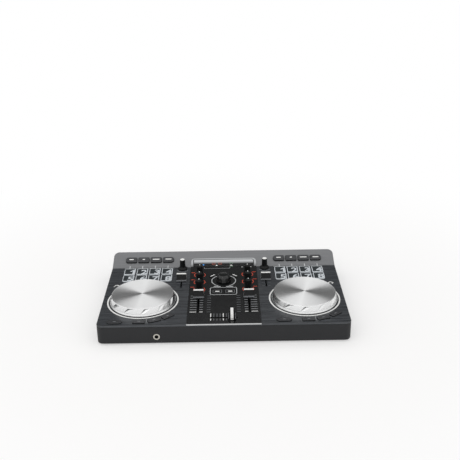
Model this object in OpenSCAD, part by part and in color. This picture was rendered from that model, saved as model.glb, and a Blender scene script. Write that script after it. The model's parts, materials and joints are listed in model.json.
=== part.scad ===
// Two-deck controller: a flat case with a raised rear strip, a mixer in the middle
// and a jog wheel, eight pads, mode and transport buttons on each deck.
// Drawn in millimetres: X from the middle, Y from the front edge, Z from the top of the deck.

/* [Case] */
// Width of the mixer section
mixer_w = 122; // [118:1:140]
// Width of the knob and tempo column between the mixer and a jog wheel
column_w = 20; // [19:0.5:30]
// Margin between a jog wheel and the side of the case
side_margin = 11.5; // [11:0.5:25]
// Margin between the transport buttons and the front edge
front_margin = 6.5; // [5.5:0.5:20]
// Height of the lower case
case_h = 30.5; // [28:0.5:45]
// Thickness of the case walls and floor
wall = 2.5; // [2:0.1:4]
// Thickness of the deck panel and rear strip
panel_t = 3; // [2.5:0.1:4]
// Radius of the case corners seen from above
corner_r = 10; // [6:0.5:14]
// Height of the rubber feet
foot_h = 2.5; // [1.5:0.5:8]
// Radius of the rubber feet
foot_r = 9; // [5:0.5:12]

/* [Rear strip] */
// Depth of the raised rear strip
strip_d = 41.5; // [40:0.5:60]
// Slope of the rear strip in degrees
strip_angle = 20.5; // [12:0.5:26]
// Radius of the hollow curve where the strip leaves the deck
blend_r = 16; // [8:1:22]
// How far the raised tongue of the strip reaches behind the mixer plate
tongue_d = 21.5; // [8:0.5:24]
// Corner radius of the tongue
tongue_r = 7; // [2:0.5:7]

/* [Mixer plate] */
// Thickness of the mixer plate
fascia_t = 2.2; // [1.8:0.1:3]
// How far the mixer plate stands above the deck
fascia_proud = 1.2; // [0.6:0.1:1.6]

/* [Jog wheels] */
// Radius of the jog wheel at its rim
jog_base_r = 57.5; // [55:0.5:66]
// Radius of the flat top disc
jog_top_r = 52.2; // [45:0.1:54]
// Height of the top disc above the deck
jog_h = 13.8; // [11:0.1:18]
// Radius of the jog shaft
jog_shaft_r = 6; // [4:0.5:8]
// Number of slanted finger grooves round the rim
jog_grooves = 12; // [6:1:16]

/* [Pads] */
// Width of a pad
pad_w = 20.2; // [16:0.1:21]
// Depth of a pad
pad_d = 23.6; // [18:0.1:28]
// Gap between pads
pad_gap = 2.8; // [2.4:0.1:4]
// Height of the pads above the deck
pad_proud = 1.2; // [0.8:0.1:3]
// Gap between the jog wheel and the pads
pad_clear = 11; // [8:0.5:20]

/* [Mode buttons] */
// Width of a mode button
mode_w = 20.4; // [16:0.1:21]
// Depth of a mode button
mode_d = 12.6; // [11:0.1:15]
// Distance of the mode buttons up the slope
mode_s = 14.7; // [11:0.1:18]
// Height of the mode buttons above the strip
mode_proud = 3; // [1.5:0.1:4]

/* [Transport buttons] */
// Length of the three curved-row buttons
transport_w = 21.2; // [16:0.1:23]
// Depth of the transport buttons
transport_d = 10.6; // [8:0.1:13]
// Length of the separate pill-shaped button
pill_w = 25; // [18:0.5:28]
// Distance between the jog rim and the middle of the transport row
transport_gap = 13.7; // [11:0.1:20]
// Gap between the buttons of the row, on the side of the jog wheel
row_gap = 2; // [1.4:0.1:4]
// Height of the transport buttons above the deck
transport_proud = 1.6; // [1:0.1:3]

/* [Small buttons] */
// Width of a load button
load_w = 19; // [14:0.5:21]
// Depth of a load button
load_d = 14; // [10:0.5:18]
// Length of the slanted buttons beside the browse knob
slant_w = 13; // [10:0.5:15]
// Depth of the slanted buttons
slant_d = 5.2; // [4.5:0.1:7]
// Height of these buttons above the mixer plate
small_proud = 1.4; // [0.8:0.1:3]

/* [Knobs] */
// Radius of an equaliser knob
eq_r = 5.4; // [4.5:0.1:7]
// Height of an equaliser knob
eq_h = 18.5; // [12:0.5:24]
// Distance between the equaliser knobs
eq_pitch = 27.8; // [25:0.1:30]
// Radius of the skirt of the tall deck knobs
tall_skirt_r = 8.6; // [7:0.1:9.2]
// Radius of the grip of the tall deck knobs
tall_r = 5; // [4:0.1:6.5]
// Height of the tall deck knobs
tall_h = 20; // [14:0.5:24]
// Radius of the browse knob
browse_r = 12.8; // [9:0.1:14]
// Height of the browse knob
browse_h = 13; // [9:0.5:18]
// Radius of every knob shaft
knob_shaft_r = 3; // [2:0.1:3.5]

/* [Faders] */
// Width of a fader cap across its slot
cap_w = 18.6; // [14:0.1:20]
// Length of a fader cap along its slot
cap_l = 12.5; // [10:0.1:14]
// Height of a fader cap above the surface
cap_h = 13.6; // [10:0.1:18]
// Travel of the channel faders
volume_travel = 57; // [45:1:58]
// Travel of the tempo faders
tempo_travel = 50; // [30:1:50]
// Travel of the crossfader
cross_travel = 40; // [30:1:45]

/* [Fits] */
// Clearance round a button in its opening
button_clear = 0.35; // [0.3:0.05:0.5]
// Running clearance of a shaft in its bore
shaft_clear = 0.06; // [0.03:0.01:0.1]
// Travel of every button
travel = 0.9; // [0.5:0.1:1.2]

/* [Hidden] */
$fn = 64;
SIDES = [-1, 1];
SIDE_NAMES = ["left", "right"];

// Places worked out from the controls outwards
transport_r = jog_base_r + transport_gap;
jog_y = front_margin + transport_r + transport_d / 2;
deck_x = mixer_w / 2 + column_w + jog_base_r;
case_w = 2 * (deck_x + jog_base_r + side_margin);
pad_pitch_x = pad_w + pad_gap;
pad_pitch_y = pad_d + pad_gap;
pads_half = 2 * pad_w + 1.5 * pad_gap;
pad_y0 = jog_y + jog_base_r + pad_clear;
deck_margin = 3.4;
deck_d = pad_y0 + 2 * pad_d + pad_gap + deck_margin;
case_d = deck_d + strip_d;
socket_reach = 9;
total_d = case_d + socket_reach;
deck_z = foot_h + case_h + panel_t;

// Levels below the deck
under = -panel_t;
floor_z = under - case_h + wall;
board_drop = 9;
board_t = 1.6;
board_z = under - board_drop;
fascia_under = fascia_proud - fascia_t;

// Buttons: retaining flange, plunger and the switch that it works
flange_w = 0.8;
flange_t = 1;
flange_gap = 0.1;
plunger_r = 2;
switch_w = 6;
switch_body = 3.5;
switch_tip = 1;
switch_tip_r = 1.7;
press_gap = 0.3;
stack_h = switch_body + switch_tip + travel + press_gap;

// Transport, pad and mode button places, counted from a jog wheel's centre
pill_x = -40;
pill_r = transport_d / 2 - 0.3;
transport_step = 2 * atan((transport_w + row_gap) / (2 * transport_r - transport_d));
row_angles = [for (i = [0:2]) -90 + i * transport_step];
button_r = 2;
pad_r = 1.6;
pad_end_r = 4.5;
mode_pitch = mode_w + pad_gap;
mode_end_r = 5;

// Mixer places
slant_r = 27;
slant_angle = 42;
eq_inset = 17.8;
eq_x = mixer_w / 2 - eq_inset;
eq_y0 = 118.2;
browse_y = 148.4;
load_x = 11.2;
load_y = 106.5;
volume_x = eq_x;
volume_low = 39.5;
volume_rest = 90.5;
cross_y = 20;
cross_rest = 13.3;
column_x = mixer_w / 2 + 14.8;
tall_y = deck_d - tall_skirt_r + 2.2;
tempo_gap = 4;
tempo_y = tall_y - tall_skirt_r - tempo_gap - (cap_l + tempo_travel) / 2;

// Knobs and potentiometers
knob_gap = 0.9;
pot_w = 11;
pot_h = 6.5;
pot_floor = 1.5;
shaft_end_gap = 0.2;
shaft_end = board_z + pot_floor + shaft_end_gap;

// Faders: stem, carriage and the slide potentiometer's channel
cap_gap = 1;
stem_t = 1.6;
stem_l = 5;
slot_clear = 0.5;
slide_w = 9;
slide_h = 7;
slide_floor = 1.2;
carriage_w = 5.2;
carriage_l = 8;
carriage_h = 3;
slide_clear = 0.3;
slide_end = 3;

// Jog bush and thrust face
bush_r = jog_shaft_r + 4.5;
bush_depth = 18;
bush_top = 0.5;
thrust_gap = 0.1;
jog_lift = 1.2;
jog_hub_r = bush_r - 1;

// Screws from below into bosses
screw_r = 1.5;
screw_head_r = 2.8;
screw_head_h = 2;
screw_fit = 0.05;
boss_r = 4.5;
boss_depth = 12;
seat_t = 3;
screw_l = 11;
boss_inset = boss_r + wall + 1;
side_boss_x = case_w / 2 - boss_inset;
boss_beside = 7;
inner_boss_x = mixer_w / 2 + boss_beside;
deck_boss_y = [50, 170];
strip_boss_back = 21;
inner_boss_back = 29;
strip_boss_y = deck_d + strip_boss_back;
inner_strip_y = deck_d + inner_boss_back;

// Board posts
post_r = 2;
ledge = 4;
fascia_ledge_y = 6;

// Rear and front sockets
socket_board_drop = 19;
socket_z = under - socket_board_drop;
socket_board_left = 11;
socket_board_right = 22;
socket_board_d = 22;
socket_post_in = 3.5;
usb_x = -34;
usb_w = 12;
usb_h = 11;
usb_d = 16;
rca_x = 14;
rca_pitch = 14;
rca_r = 4.15;
rca_collar_r = 5.2;
rca_hole_r = 1.7;
rca_body = [30, 12, 12];
socket_board_x0 = usb_x - socket_board_left;
socket_board_w = rca_x + socket_board_right - socket_board_x0;
socket_clear = 0.25;
phones_x = -110;
phones_drop = 18.5;
phones_z = under - phones_drop;
phones_r = 3.25;
phones_collar_r = 5.5;
phones_body = [14, 28, 12];

PADS = [1:8];
ROW = [1:4];

// Height of the strip's slope above the deck, at a distance behind the deck's rear edge
function strip_z(y) = blend_r * (1 - cos(strip_angle)) + (y - blend_r * sin(strip_angle)) * tan(strip_angle);

// Place of pad i, counted left to right and from the back row to the front row
function pad_x(i) = ((i - 1) % 4 - 1.5) * pad_pitch_x;
function pad_y(i) = pad_y0 + pad_d / 2 + (i <= 4 ? pad_pitch_y : 0);
function mode_x(i) = (i - 2.5) * mode_pitch;
function eq_y(i) = eq_y0 + (3 - i) * eq_pitch;

// Moves the drawing so that the part stands on Z = 0 about the middle of its box
module place() {
    translate([0, -total_d / 2, deck_z]) children();
}

// The strip's slope, with Y up the slope and Z square to it
module on_slope() {
    translate([0, deck_d + blend_r * sin(strip_angle), blend_r * (1 - cos(strip_angle))])
        rotate([strip_angle, 0, 0]) children();
}

// Places one transport button of a deck, from 1 (the separate pill) to 4
module at_transport(side, i) {
    translate([side * deck_x, jog_y, 0])
        if (i == 1) translate([pill_x, -transport_r, 0]) children();
        else rotate([0, 0, row_angles[i - 2] + 90]) translate([0, -transport_r, 0]) children();
}

// Places one slanted button beside the browse knob
module at_slant(side) {
    a = slant_angle + 6;
    translate([side * slant_r * sin(a), browse_y + slant_r * cos(a), fascia_proud])
        rotate([0, 0, -side * slant_angle]) children();
}

module at_pad(side, i) {
    translate([side * deck_x + pad_x(i), pad_y(i), 0]) children();
}

module at_mode(side, i) {
    on_slope() translate([side * deck_x + mode_x(i), mode_s, 0]) children();
}

module at_load(side) {
    translate([side * load_x, load_y, fascia_proud]) children();
}

// Rectangle about its middle, with its own corner radius at the left and the right end
module tab(w, d, left_r, right_r) {
    translate([-w / 2 + left_r, -d / 2]) square([w - left_r - right_r, d]);
    translate([-w / 2, left_r - d / 2]) square([left_r + 0.1, d - 2 * left_r]);
    translate([w / 2 - right_r - 0.1, right_r - d / 2]) square([right_r + 0.1, d - 2 * right_r]);
    for (y = [-1, 1]) {
        translate([-w / 2 + left_r, y * (d / 2 - left_r)]) circle(left_r);
        translate([w / 2 - right_r, y * (d / 2 - right_r)]) circle(right_r);
    }
}

module round_rect(w, d, r) {
    tab(w, d, r, r);
}

// Corner radius of a mode button's end: wide only at the two ends of the group
function mode_r(i, end) = i == end ? mode_end_r : button_r;

// Outline of pad i, grown by a clearance: the outer corner of the group is wide
module pad_plan(i, grow = 0) {
    w = pad_w + 2 * grow;
    d = pad_d + 2 * grow;
    r = pad_end_r + grow;
    end = i % 4 == 1 ? -1 : i % 4 == 0 ? 1 : 0;
    row = i <= 4 ? 1 : -1;
    if (end == 0) round_rect(w, d, pad_r + grow);
    else {
        difference() {
            round_rect(w, d, pad_r + grow);
            translate([end * (w / 2 - r / 2 + 1), row * (d / 2 - r / 2 + 1)]) square(r + 2, center = true);
        }
        translate([end * (w / 2 - r), row * (d / 2 - r)]) circle(r);
    }
}

// Outline of the case, drawn in by an inset
module case_plan(inset = 0) {
    translate([0, case_d / 2])
        round_rect(case_w - 2 * inset, case_d - 2 * inset, max(corner_r - inset, 1));
}

// Press button: cap through the panel, retaining flange under it, plunger over its switch
module press_button(w, d, left_r, right_r, proud, panel, board_depth) {
    translate([0, 0, -panel - flange_gap])
        linear_extrude(proud + panel + flange_gap) tab(w, d, left_r, right_r);
    button_foot(w, d, left_r, right_r, panel, board_depth);
}

// Retaining flange and plunger of a press button
module button_foot(w, d, left_r, right_r, panel, board_depth) {
    plunger_end = board_depth - stack_h;
    translate([0, 0, -panel - flange_gap - flange_t])
        linear_extrude(flange_t) tab(w + 2 * flange_w, d + 2 * flange_w, left_r, right_r);
    translate([0, 0, -plunger_end]) cylinder(r = plunger_r, h = plunger_end - panel);
}

// Opening for such a button, through the panel
module button_hole(w, d, left_r, right_r) {
    c = button_clear;
    translate([0, 0, -20]) linear_extrude(30) tab(w + 2 * c, d + 2 * c, left_r + c, right_r + c);
}

module deck_button(w, d, r, proud) {
    press_button(w, d, r, r, proud, panel_t, -board_z);
}

module mixer_button(w, d, r) {
    press_button(w, d, r, r, small_proud, fascia_t, fascia_proud - board_z);
}

// Knob and its shaft, turned about Z, standing on a surface at Z = base
module knob(grip_r, height, skirt_r, skirt_h, base, edge = 0.6) {
    rotate_extrude() polygon([
        [0, shaft_end],
        [knob_shaft_r, shaft_end],
        [knob_shaft_r, base + knob_gap],
        [skirt_r, base + knob_gap],
        [skirt_r, base + knob_gap + skirt_h],
        [grip_r, base + knob_gap + skirt_h + 0.8],
        [grip_r - 0.3, base + height - edge],
        [grip_r - 0.3 - edge, base + height],
        [0, base + height]
    ]);
}

// Fader with its stem and carriage, sliding along Y over a surface at Z = base
module fader(base) {
    foot = cap_l / 2;
    crest = cap_l * 0.27;
    rotate([90, 0, 90]) translate([0, 0, -cap_w / 2]) linear_extrude(cap_w) polygon([
        [-foot, base + cap_gap],
        [foot, base + cap_gap],
        [foot - 0.3, base + cap_gap + 2.6],
        [crest, base + cap_h],
        [-crest, base + cap_h],
        [-foot + 0.3, base + cap_gap + 2.6]
    ]);
    stem_end = board_z + slide_floor + slide_clear;
    translate([-stem_t / 2, -stem_l / 2, stem_end]) cube([stem_t, stem_l, base + cap_gap + 1 - stem_end]);
    translate([-carriage_w / 2, -carriage_l / 2, stem_end]) cube([carriage_w, carriage_l, carriage_h]);
}

// Slot for a fader stem, along Y
module fader_slot(slide) {
    w = stem_t + 2 * slot_clear;
    l = slide + stem_l + 2 * slot_clear;
    translate([-w / 2, -l / 2, -10]) cube([w, l, 20]);
}

// Slide potentiometer: an open channel for the carriage, along Y
module slide_pot(slide) {
    inner_w = carriage_w + 2 * slide_clear;
    inner_l = slide + carriage_l + 2 * slot_clear;
    outer_l = inner_l + 2 * slide_end;
    translate([0, 0, board_z]) difference() {
        translate([-slide_w / 2, -outer_l / 2, 0]) cube([slide_w, outer_l, slide_h]);
        translate([-inner_w / 2, -inner_l / 2, slide_floor]) cube([inner_w, inner_l, slide_h]);
    }
}

// Rotary potentiometer with the bore that its knob's shaft runs in
module rotary_pot() {
    translate([0, 0, board_z]) difference() {
        translate([-pot_w / 2, -pot_w / 2, 0]) cube([pot_w, pot_w, pot_h]);
        translate([0, 0, pot_floor]) cylinder(r = knob_shaft_r + shaft_clear, h = pot_h);
    }
}

module tact_switch() {
    translate([-switch_w / 2, -switch_w / 2, 0]) cube([switch_w, switch_w, switch_body]);
    cylinder(r = switch_tip_r, h = switch_body + switch_tip);
}

// Post that carries a board below a surface
module post(x, y, top) {
    translate([x, y, board_z]) cylinder(r = post_r, h = top - board_z);
}

// Boss below a panel, with the hole that a case screw is driven into
module boss(x, y, top) {
    bottom = under - boss_depth;
    translate([x, y, bottom]) difference() {
        cylinder(r = boss_r, h = top - bottom);
        translate([0, 0, -1]) cylinder(r = screw_r + screw_fit, h = screw_l - seat_t + 2);
    }
}

// Centres of the screws, for the deck panel and for the rear strip
deck_bosses = concat(
    [for (s = SIDES, y = deck_boss_y) [s * side_boss_x, y]],
    [for (s = SIDES) [s * inner_boss_x, deck_boss_y[0] - 5]]
);
strip_bosses = concat(
    [for (s = SIDES) [s * side_boss_x, strip_boss_y]],
    [for (s = SIDES) [s * inner_boss_x, inner_strip_y]]
);

// Case pieces

module bottom_case() {
    pillar_h = case_h - boss_depth - wall;
    seat_z = under - boss_depth - seat_t;
    color("dimgray") place() difference() {
        union() {
            difference() {
                translate([0, 0, under - case_h]) linear_extrude(case_h) case_plan();
                translate([0, 0, floor_z]) linear_extrude(case_h) case_plan(wall);
            }
            for (b = concat(deck_bosses, strip_bosses))
                translate([b[0], b[1], floor_z - 0.5]) cylinder(r = boss_r, h = pillar_h + 0.5);
            for (x = [socket_board_x0 + socket_post_in, socket_board_x0 + socket_board_w - socket_post_in])
                translate([x, case_d - wall - socket_board_d / 2, floor_z - 0.5])
                    cylinder(r = post_r + 0.5, h = socket_z - board_t - floor_z + 0.5);
        }
        for (b = concat(deck_bosses, strip_bosses)) translate([b[0], b[1], 0]) {
            translate([0, 0, under - case_h - 1])
                cylinder(r = screw_head_r + 0.4, h = seat_z - under + case_h + 1);
            translate([0, 0, under - case_h]) cylinder(r = screw_r + 0.3, h = case_h);
        }
        translate([usb_x - usb_w / 2 - socket_clear, case_d - wall - 1, socket_z - socket_clear])
            cube([usb_w + 2 * socket_clear, wall + 2, usb_h + 2 * socket_clear]);
        for (s = SIDES) translate([rca_x + s * rca_pitch / 2, case_d + 1, socket_z + rca_body[2] / 2])
            rotate([90, 0, 0]) cylinder(r = rca_collar_r + socket_clear, h = wall + 2);
        translate([phones_x, -1, phones_z])
            rotate([-90, 0, 0]) cylinder(r = phones_collar_r + socket_clear, h = wall + 2);
    }
}

module deck_panel() {
    color("#303234") place() difference() {
        union() {
            intersection() {
                translate([0, 0, under]) linear_extrude(panel_t) case_plan();
                translate([-case_w, -1, under - 1]) cube([2 * case_w, deck_d + 1, panel_t + 2]);
            }
            for (b = deck_bosses) boss(b[0], b[1], under + 1);
            for (s = SIDES) translate([s * deck_x, jog_y, -bush_depth])
                cylinder(r = bush_r, h = bush_depth + bush_top);
            deck_posts();
        }
        for (s = SIDES) {
            translate([s * deck_x, jog_y, -bush_depth - 1])
                cylinder(r = jog_shaft_r + shaft_clear, h = bush_depth + 4);
            translate([s * column_x, tall_y, -10]) cylinder(r = knob_shaft_r + 0.6, h = 20);
            translate([s * column_x, tempo_y, 0]) fader_slot(tempo_travel);
            for (i = PADS) at_pad(s, i) translate([0, 0, -20]) linear_extrude(30) pad_plan(i, button_clear);
            at_transport(s, 1) button_hole(pill_w, transport_d, pill_r, pill_r);
            for (i = [2:4]) at_transport(s, i) button_hole(transport_w, transport_d, button_r, button_r);
        }
        // Seat and window of the mixer plate
        translate([-mixer_w / 2 - 0.1, -1, fascia_under]) cube([mixer_w + 0.2, deck_d + 2, 5]);
        translate([ledge - mixer_w / 2, fascia_ledge_y, -10])
            cube([mixer_w - 2 * ledge, deck_d - 2 * fascia_ledge_y, 20]);
    }
}

// Upper and lower boards of a deck: edges of the boards and places of their posts
board_inner = mixer_w / 2 + 3.6;
board_outer = deck_x + pads_half + 7.4;
upper_y0 = tempo_y - tempo_travel / 2 - 12;
upper_y1 = deck_d - 1;
lower_half = transport_r * cos(row_angles[2]) + transport_w / 2 + 1;
lower_y1 = jog_y - transport_r * sin(-row_angles[2]) + transport_w / 2 + 2;
upper_posts = [
    for (y = [upper_y0 + post_r + 0.5, upper_y1 - post_r - 0.5])
        for (x = [board_inner + post_r + 0.2, board_outer - post_r - 0.4]) [x, y]
];
lower_posts = [[-lower_half + 4, lower_y1 - 4], [-22, 8], [14, lower_y1 - 4], [lower_half - 4, 8]];

module deck_posts() {
    for (s = SIDES) {
        for (p = upper_posts) post(s * p[0], p[1], under + 0.5);
        for (p = lower_posts) post(s * deck_x + p[0], p[1], under + 0.5);
    }
}

// Side view of the strip from its front edge, raised by lift, up to a distance behind the edge
function strip_curve(lift, from, to) = concat(
    [for (a = [0 : strip_angle / 6 : strip_angle])
        if (blend_r * sin(a) >= from) [blend_r * sin(a), blend_r * (1 - cos(a)) + lift]],
    [[to, strip_z(to) + lift]]
);

// Solid below that side view, drawn across the whole width
module strip_wedge(lift, from, to, bottom) {
    rotate([90, 0, 90]) translate([0, 0, -case_w]) linear_extrude(2 * case_w)
        polygon(concat([[to, bottom], [from, bottom]], strip_curve(lift, from, to)));
}

module rear_strip() {
    color("#969696") place() difference() {
        union() {
            difference() {
                intersection() {
                    translate([0, deck_d, 0]) strip_wedge(0, 0, strip_d + 1, under);
                    translate([0, 0, under - 1]) linear_extrude(60) case_plan();
                }
                intersection() {
                    translate([0, deck_d, 0]) strip_wedge(-panel_t, wall, strip_d, under - 2);
                    translate([0, 0, under - 3]) linear_extrude(60) case_plan(wall);
                }
            }
            strip_tongue();
            for (b = strip_bosses) boss(b[0], b[1], strip_z(b[1] - deck_d - boss_r) - 1);
            for (s = SIDES, x = [-1, 1], y = [ramp_board_y0 + 3, ramp_board_y1 - 3]) on_slope()
                translate([s * deck_x + x * (ramp_half - 3), y, -slope_board])
                    cylinder(r = post_r, h = slope_board - slope_t + 0.5);
        }
        for (s = SIDES, i = ROW) at_mode(s, i) button_hole(mode_w, mode_d, mode_r(i, 1), mode_r(i, 4));
    }
}

// Raised tongue of the strip that carries on the line of the mixer plate
module strip_tongue() {
    intersection() {
        translate([0, deck_d, 0]) strip_wedge(fascia_proud, 0, strip_d, under + 1);
        translate([0, deck_d + tongue_d / 2 - 5, 0]) linear_extrude(60)
            round_rect(mixer_w, tongue_d + 10, tongue_r);
        translate([-mixer_w, deck_d, -10]) cube([2 * mixer_w, strip_d, 60]);
    }
}

// Boards under the slope
slope_t = panel_t * cos(strip_angle);
slope_board = slope_t + board_drop;
ramp_half = 2 * mode_pitch + 4.4;
ramp_board_y0 = mode_s - mode_d / 2 - 1;
ramp_board_y1 = mode_s + mode_d / 2 + 1;

module mixer_fascia() {
    top = fascia_proud;
    color("#1c1d1e") place() difference() {
        union() {
            translate([-mixer_w / 2, 0, fascia_under]) cube([mixer_w, deck_d, fascia_t]);
            for (s = SIDES, y = mixer_post_y) post(s * mixer_post_x, y, fascia_under + 0.5);
        }
        for (s = SIDES) {
            for (i = [1:3]) translate([s * eq_x, eq_y(i), -10]) cylinder(r = knob_shaft_r + 0.6, h = 20);
            translate([s * volume_x, volume_low + volume_travel / 2, 0]) fader_slot(volume_travel);
            at_load(s) button_hole(load_w, load_d, button_r, button_r);
            at_slant(s) button_hole(slant_w, slant_d, button_r, button_r);
        }
        translate([0, browse_y, -10]) cylinder(r = knob_shaft_r + 0.6, h = 20);
        translate([0, cross_y, 0]) rotate([0, 0, 90]) fader_slot(cross_travel);
    }
}

mixer_board_x = mixer_w / 2 - ledge - 0.5;
mixer_post_x = mixer_board_x - post_r - 0.5;
mixer_post_y = [12, 109, deck_d - 12];

// Electrics

module circuit_board() {
    color("darkgreen") place() {
        for (s = SIDES) {
            board(s * (board_inner + board_outer) / 2, board_outer - board_inner, upper_y0, upper_y1);
            board(s * deck_x, 2 * lower_half, front_margin - 2, lower_y1);
            on_slope() translate([s * deck_x - ramp_half, ramp_board_y0, -slope_board - board_t])
                cube([2 * ramp_half, ramp_board_y1 - ramp_board_y0, board_t]);
            translate([s * column_x, tall_y, 0]) rotary_pot();
            translate([s * column_x, tempo_y, 0]) slide_pot(tempo_travel);
            translate([s * volume_x, volume_low + volume_travel / 2, 0]) slide_pot(volume_travel);
            for (i = [1:3]) translate([s * eq_x, eq_y(i), 0]) rotary_pot();
            for (i = PADS) at_pad(s, i) translate([0, 0, board_z]) tact_switch();
            for (i = ROW) at_transport(s, i) translate([0, 0, board_z]) tact_switch();
            for (i = ROW) at_mode(s, i) translate([0, 0, -slope_board]) tact_switch();
            at_load(s) translate([0, 0, board_z - fascia_proud]) tact_switch();
            at_slant(s) translate([0, 0, board_z - fascia_proud]) tact_switch();
        }
        board(0, 2 * mixer_board_x, fascia_ledge_y + 2, deck_d - fascia_ledge_y - 2);
        translate([0, browse_y, 0]) rotary_pot();
        translate([0, cross_y, 0]) rotate([0, 0, 90]) slide_pot(cross_travel);
        translate([socket_board_x0, case_d - wall - socket_board_d, socket_z - board_t])
            cube([socket_board_w, socket_board_d - socket_clear, board_t]);
    }
}

// One flat board, by its middle and width across and by its front and back edge
module board(x, w, y0, y1) {
    translate([x - w / 2, y0, board_z - board_t]) cube([w, y1 - y0, board_t]);
}

module sockets() {
    color("silver") place() {
        usb_socket();
        rca_sockets();
        phones_socket();
    }
}

// Square data socket: metal shell with its tongue, mouth to the rear
module usb_socket() {
    shell = 0.8;
    tongue_w = 5.6;
    tongue_h = 3.2;
    tongue_back = 1.6;
    translate([usb_x, case_d, socket_z]) {
        difference() {
            translate([-usb_w / 2, -usb_d, 0]) cube([usb_w, usb_d, usb_h]);
            translate([shell - usb_w / 2, shell * 2 - usb_d, shell])
                cube([usb_w - 2 * shell, usb_d, usb_h - 2 * shell]);
        }
        translate([-tongue_w / 2, shell - usb_d, (usb_h - tongue_h) / 2])
            cube([tongue_w, usb_d - shell - tongue_back, tongue_h]);
    }
}

// Pair of phono sockets in one block
module rca_sockets() {
    axis_z = socket_z + rca_body[2] / 2;
    difference() {
        union() {
            translate([rca_x - rca_body[0] / 2, case_d - wall - rca_body[1], socket_z]) cube(rca_body);
            for (s = SIDES) translate([rca_x + s * rca_pitch / 2, case_d - wall - 1, axis_z])
                rotate([-90, 0, 0]) {
                    cylinder(r = rca_collar_r, h = wall + 1);
                    cylinder(r = rca_r, h = wall + 1 + socket_reach);
                }
        }
        for (s = SIDES) translate([rca_x + s * rca_pitch / 2, case_d - 1, axis_z])
            rotate([-90, 0, 0]) cylinder(r = rca_hole_r, h = socket_reach + 2);
    }
}

// Headphone socket in the front wall: body, collar and bore
module phones_socket() {
    bore_l = phones_body[1] - 3;
    translate([phones_x, 0, phones_z]) difference() {
        union() {
            translate([-phones_body[0] / 2, wall, -phones_body[2] / 2]) cube(phones_body);
            rotate([-90, 0, 0]) cylinder(r = phones_collar_r, h = wall + 1);
        }
        translate([0, -1, 0]) rotate([-90, 0, 0]) cylinder(r = phones_r, h = bore_l + 1);
    }
}

module case_screws() {
    seat_z = under - boss_depth - seat_t;
    color("gray") place() for (b = concat(deck_bosses, strip_bosses)) translate([b[0], b[1], seat_z])
        difference() {
            union() {
                translate([0, 0, -screw_head_h]) cylinder(r = screw_head_r, h = screw_head_h);
                translate([0, 0, -0.5]) cylinder(r = screw_r, h = screw_l + 0.5);
            }
            for (a = [0, 90]) rotate([0, 0, a])
                translate([-1.6, -0.4, -screw_head_h - 1]) cube([3.2, 0.8, 2]);
        }
}

module rubber_feet() {
    inset = foot_r + 16;
    color("black") place() for (s = SIDES, y = [inset, case_d - inset])
        translate([s * (case_w / 2 - inset), y, -deck_z]) cylinder(r = foot_r, h = foot_h);
}

// Moving pieces

module jog_wheel(side) {
    lip_z = 4.2;
    edge = 1;
    disc_t = 5;
    rim_in = 2;
    rim_t = 0.8;
    side_r = (jog_base_r - rim_in + jog_top_r + 0.6) / 2;
    side_lean = atan((jog_base_r - rim_in - jog_top_r) / (jog_h - lip_z - edge));
    groove_t = 6;
    groove_depth = 1.6;
    groove_w = 3.4;
    groove_l = 13.4;
    groove_slant = -50;
    phase = side > 0 ? -6 : 0;
    color("lightgray") place() translate([side * deck_x, jog_y, 0]) {
        difference() {
            rotate_extrude() polygon([
                [0, bush_top + thrust_gap],
                [jog_hub_r, bush_top + thrust_gap],
                [jog_hub_r, jog_h - disc_t],
                [jog_top_r - 4, jog_h - disc_t],
                [jog_base_r - 4, jog_lift],
                [jog_base_r, jog_lift],
                [jog_base_r, jog_lift + rim_t],
                [jog_base_r - rim_in, lip_z + 0.8],
                [jog_top_r + 0.6, jog_h - edge],
                [jog_top_r, jog_h],
                [0, jog_h]
            ]);
            // Slanted finger grooves cut into the sloping side
            for (i = [0 : jog_grooves - 1]) rotate([0, 0, i * 360 / jog_grooves + phase])
                translate([side_r + groove_t / 2 - groove_depth, 0, (lip_z + jog_h) / 2])
                    rotate([0, -side_lean, 0]) rotate([groove_slant, 0, 0])
                        cube([groove_t, groove_w, groove_l], center = true);
        }
        translate([0, 0, 0.3 - bush_depth])
            cylinder(r = jog_shaft_r, h = bush_depth + bush_top + 1);
    }
}

module tall_knob(side) {
    color("#202020") place() translate([side * column_x, tall_y, 0])
        knob(tall_r, tall_h, tall_skirt_r, 1.8, 0.6);
}

module eq_knob(side, i) {
    color("#202020") place() translate([side * eq_x, eq_y(i), 0])
        knob(eq_r, eq_h, eq_r + 0.8, 1.2, fascia_proud);
}

module browse_knob() {
    dish_r = 40;
    dish_depth = 1.2;
    color("#202020") place() translate([0, browse_y, 0]) difference() {
        knob(browse_r, browse_h, browse_r, 1, fascia_proud, 2);
        translate([0, 0, fascia_proud + browse_h + dish_r - dish_depth]) sphere(dish_r);
    }
}

module tempo_fader(side) {
    color("#202020") place() translate([side * column_x, tempo_y, 0]) fader(0);
}

module volume_fader(side) {
    color("#202020") place() translate([side * volume_x, volume_rest, 0]) fader(fascia_proud);
}

module crossfader() {
    color("#202020") place() translate([cross_rest, cross_y, 0]) rotate([0, 0, 90]) fader(fascia_proud);
}

module load_button(side) {
    color("#303030") place() at_load(side) mixer_button(load_w, load_d, button_r);
}

module slant_button(side) {
    color("#e0e0e0") place() at_slant(side) mixer_button(slant_w, slant_d, button_r);
}

module transport_button(side, i) {
    color("#303030") place() at_transport(side, i)
        if (i == 1) deck_button(pill_w, transport_d, pill_r, transport_proud);
        else deck_button(transport_w, transport_d, button_r, transport_proud);
}

module mode_button(side, i) {
    color("#484848") place() at_mode(side, i)
        press_button(mode_w, mode_d, mode_r(i, 1), mode_r(i, 4), mode_proud, slope_t, slope_board);
}

module pad(side, i) {
    color("#2d3234") place() at_pad(side, i) {
        translate([0, 0, under - flange_gap]) linear_extrude(pad_proud + panel_t + flange_gap) pad_plan(i);
        button_foot(pad_w, pad_d, pad_r, pad_r, panel_t, -board_z);
    }
}

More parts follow.
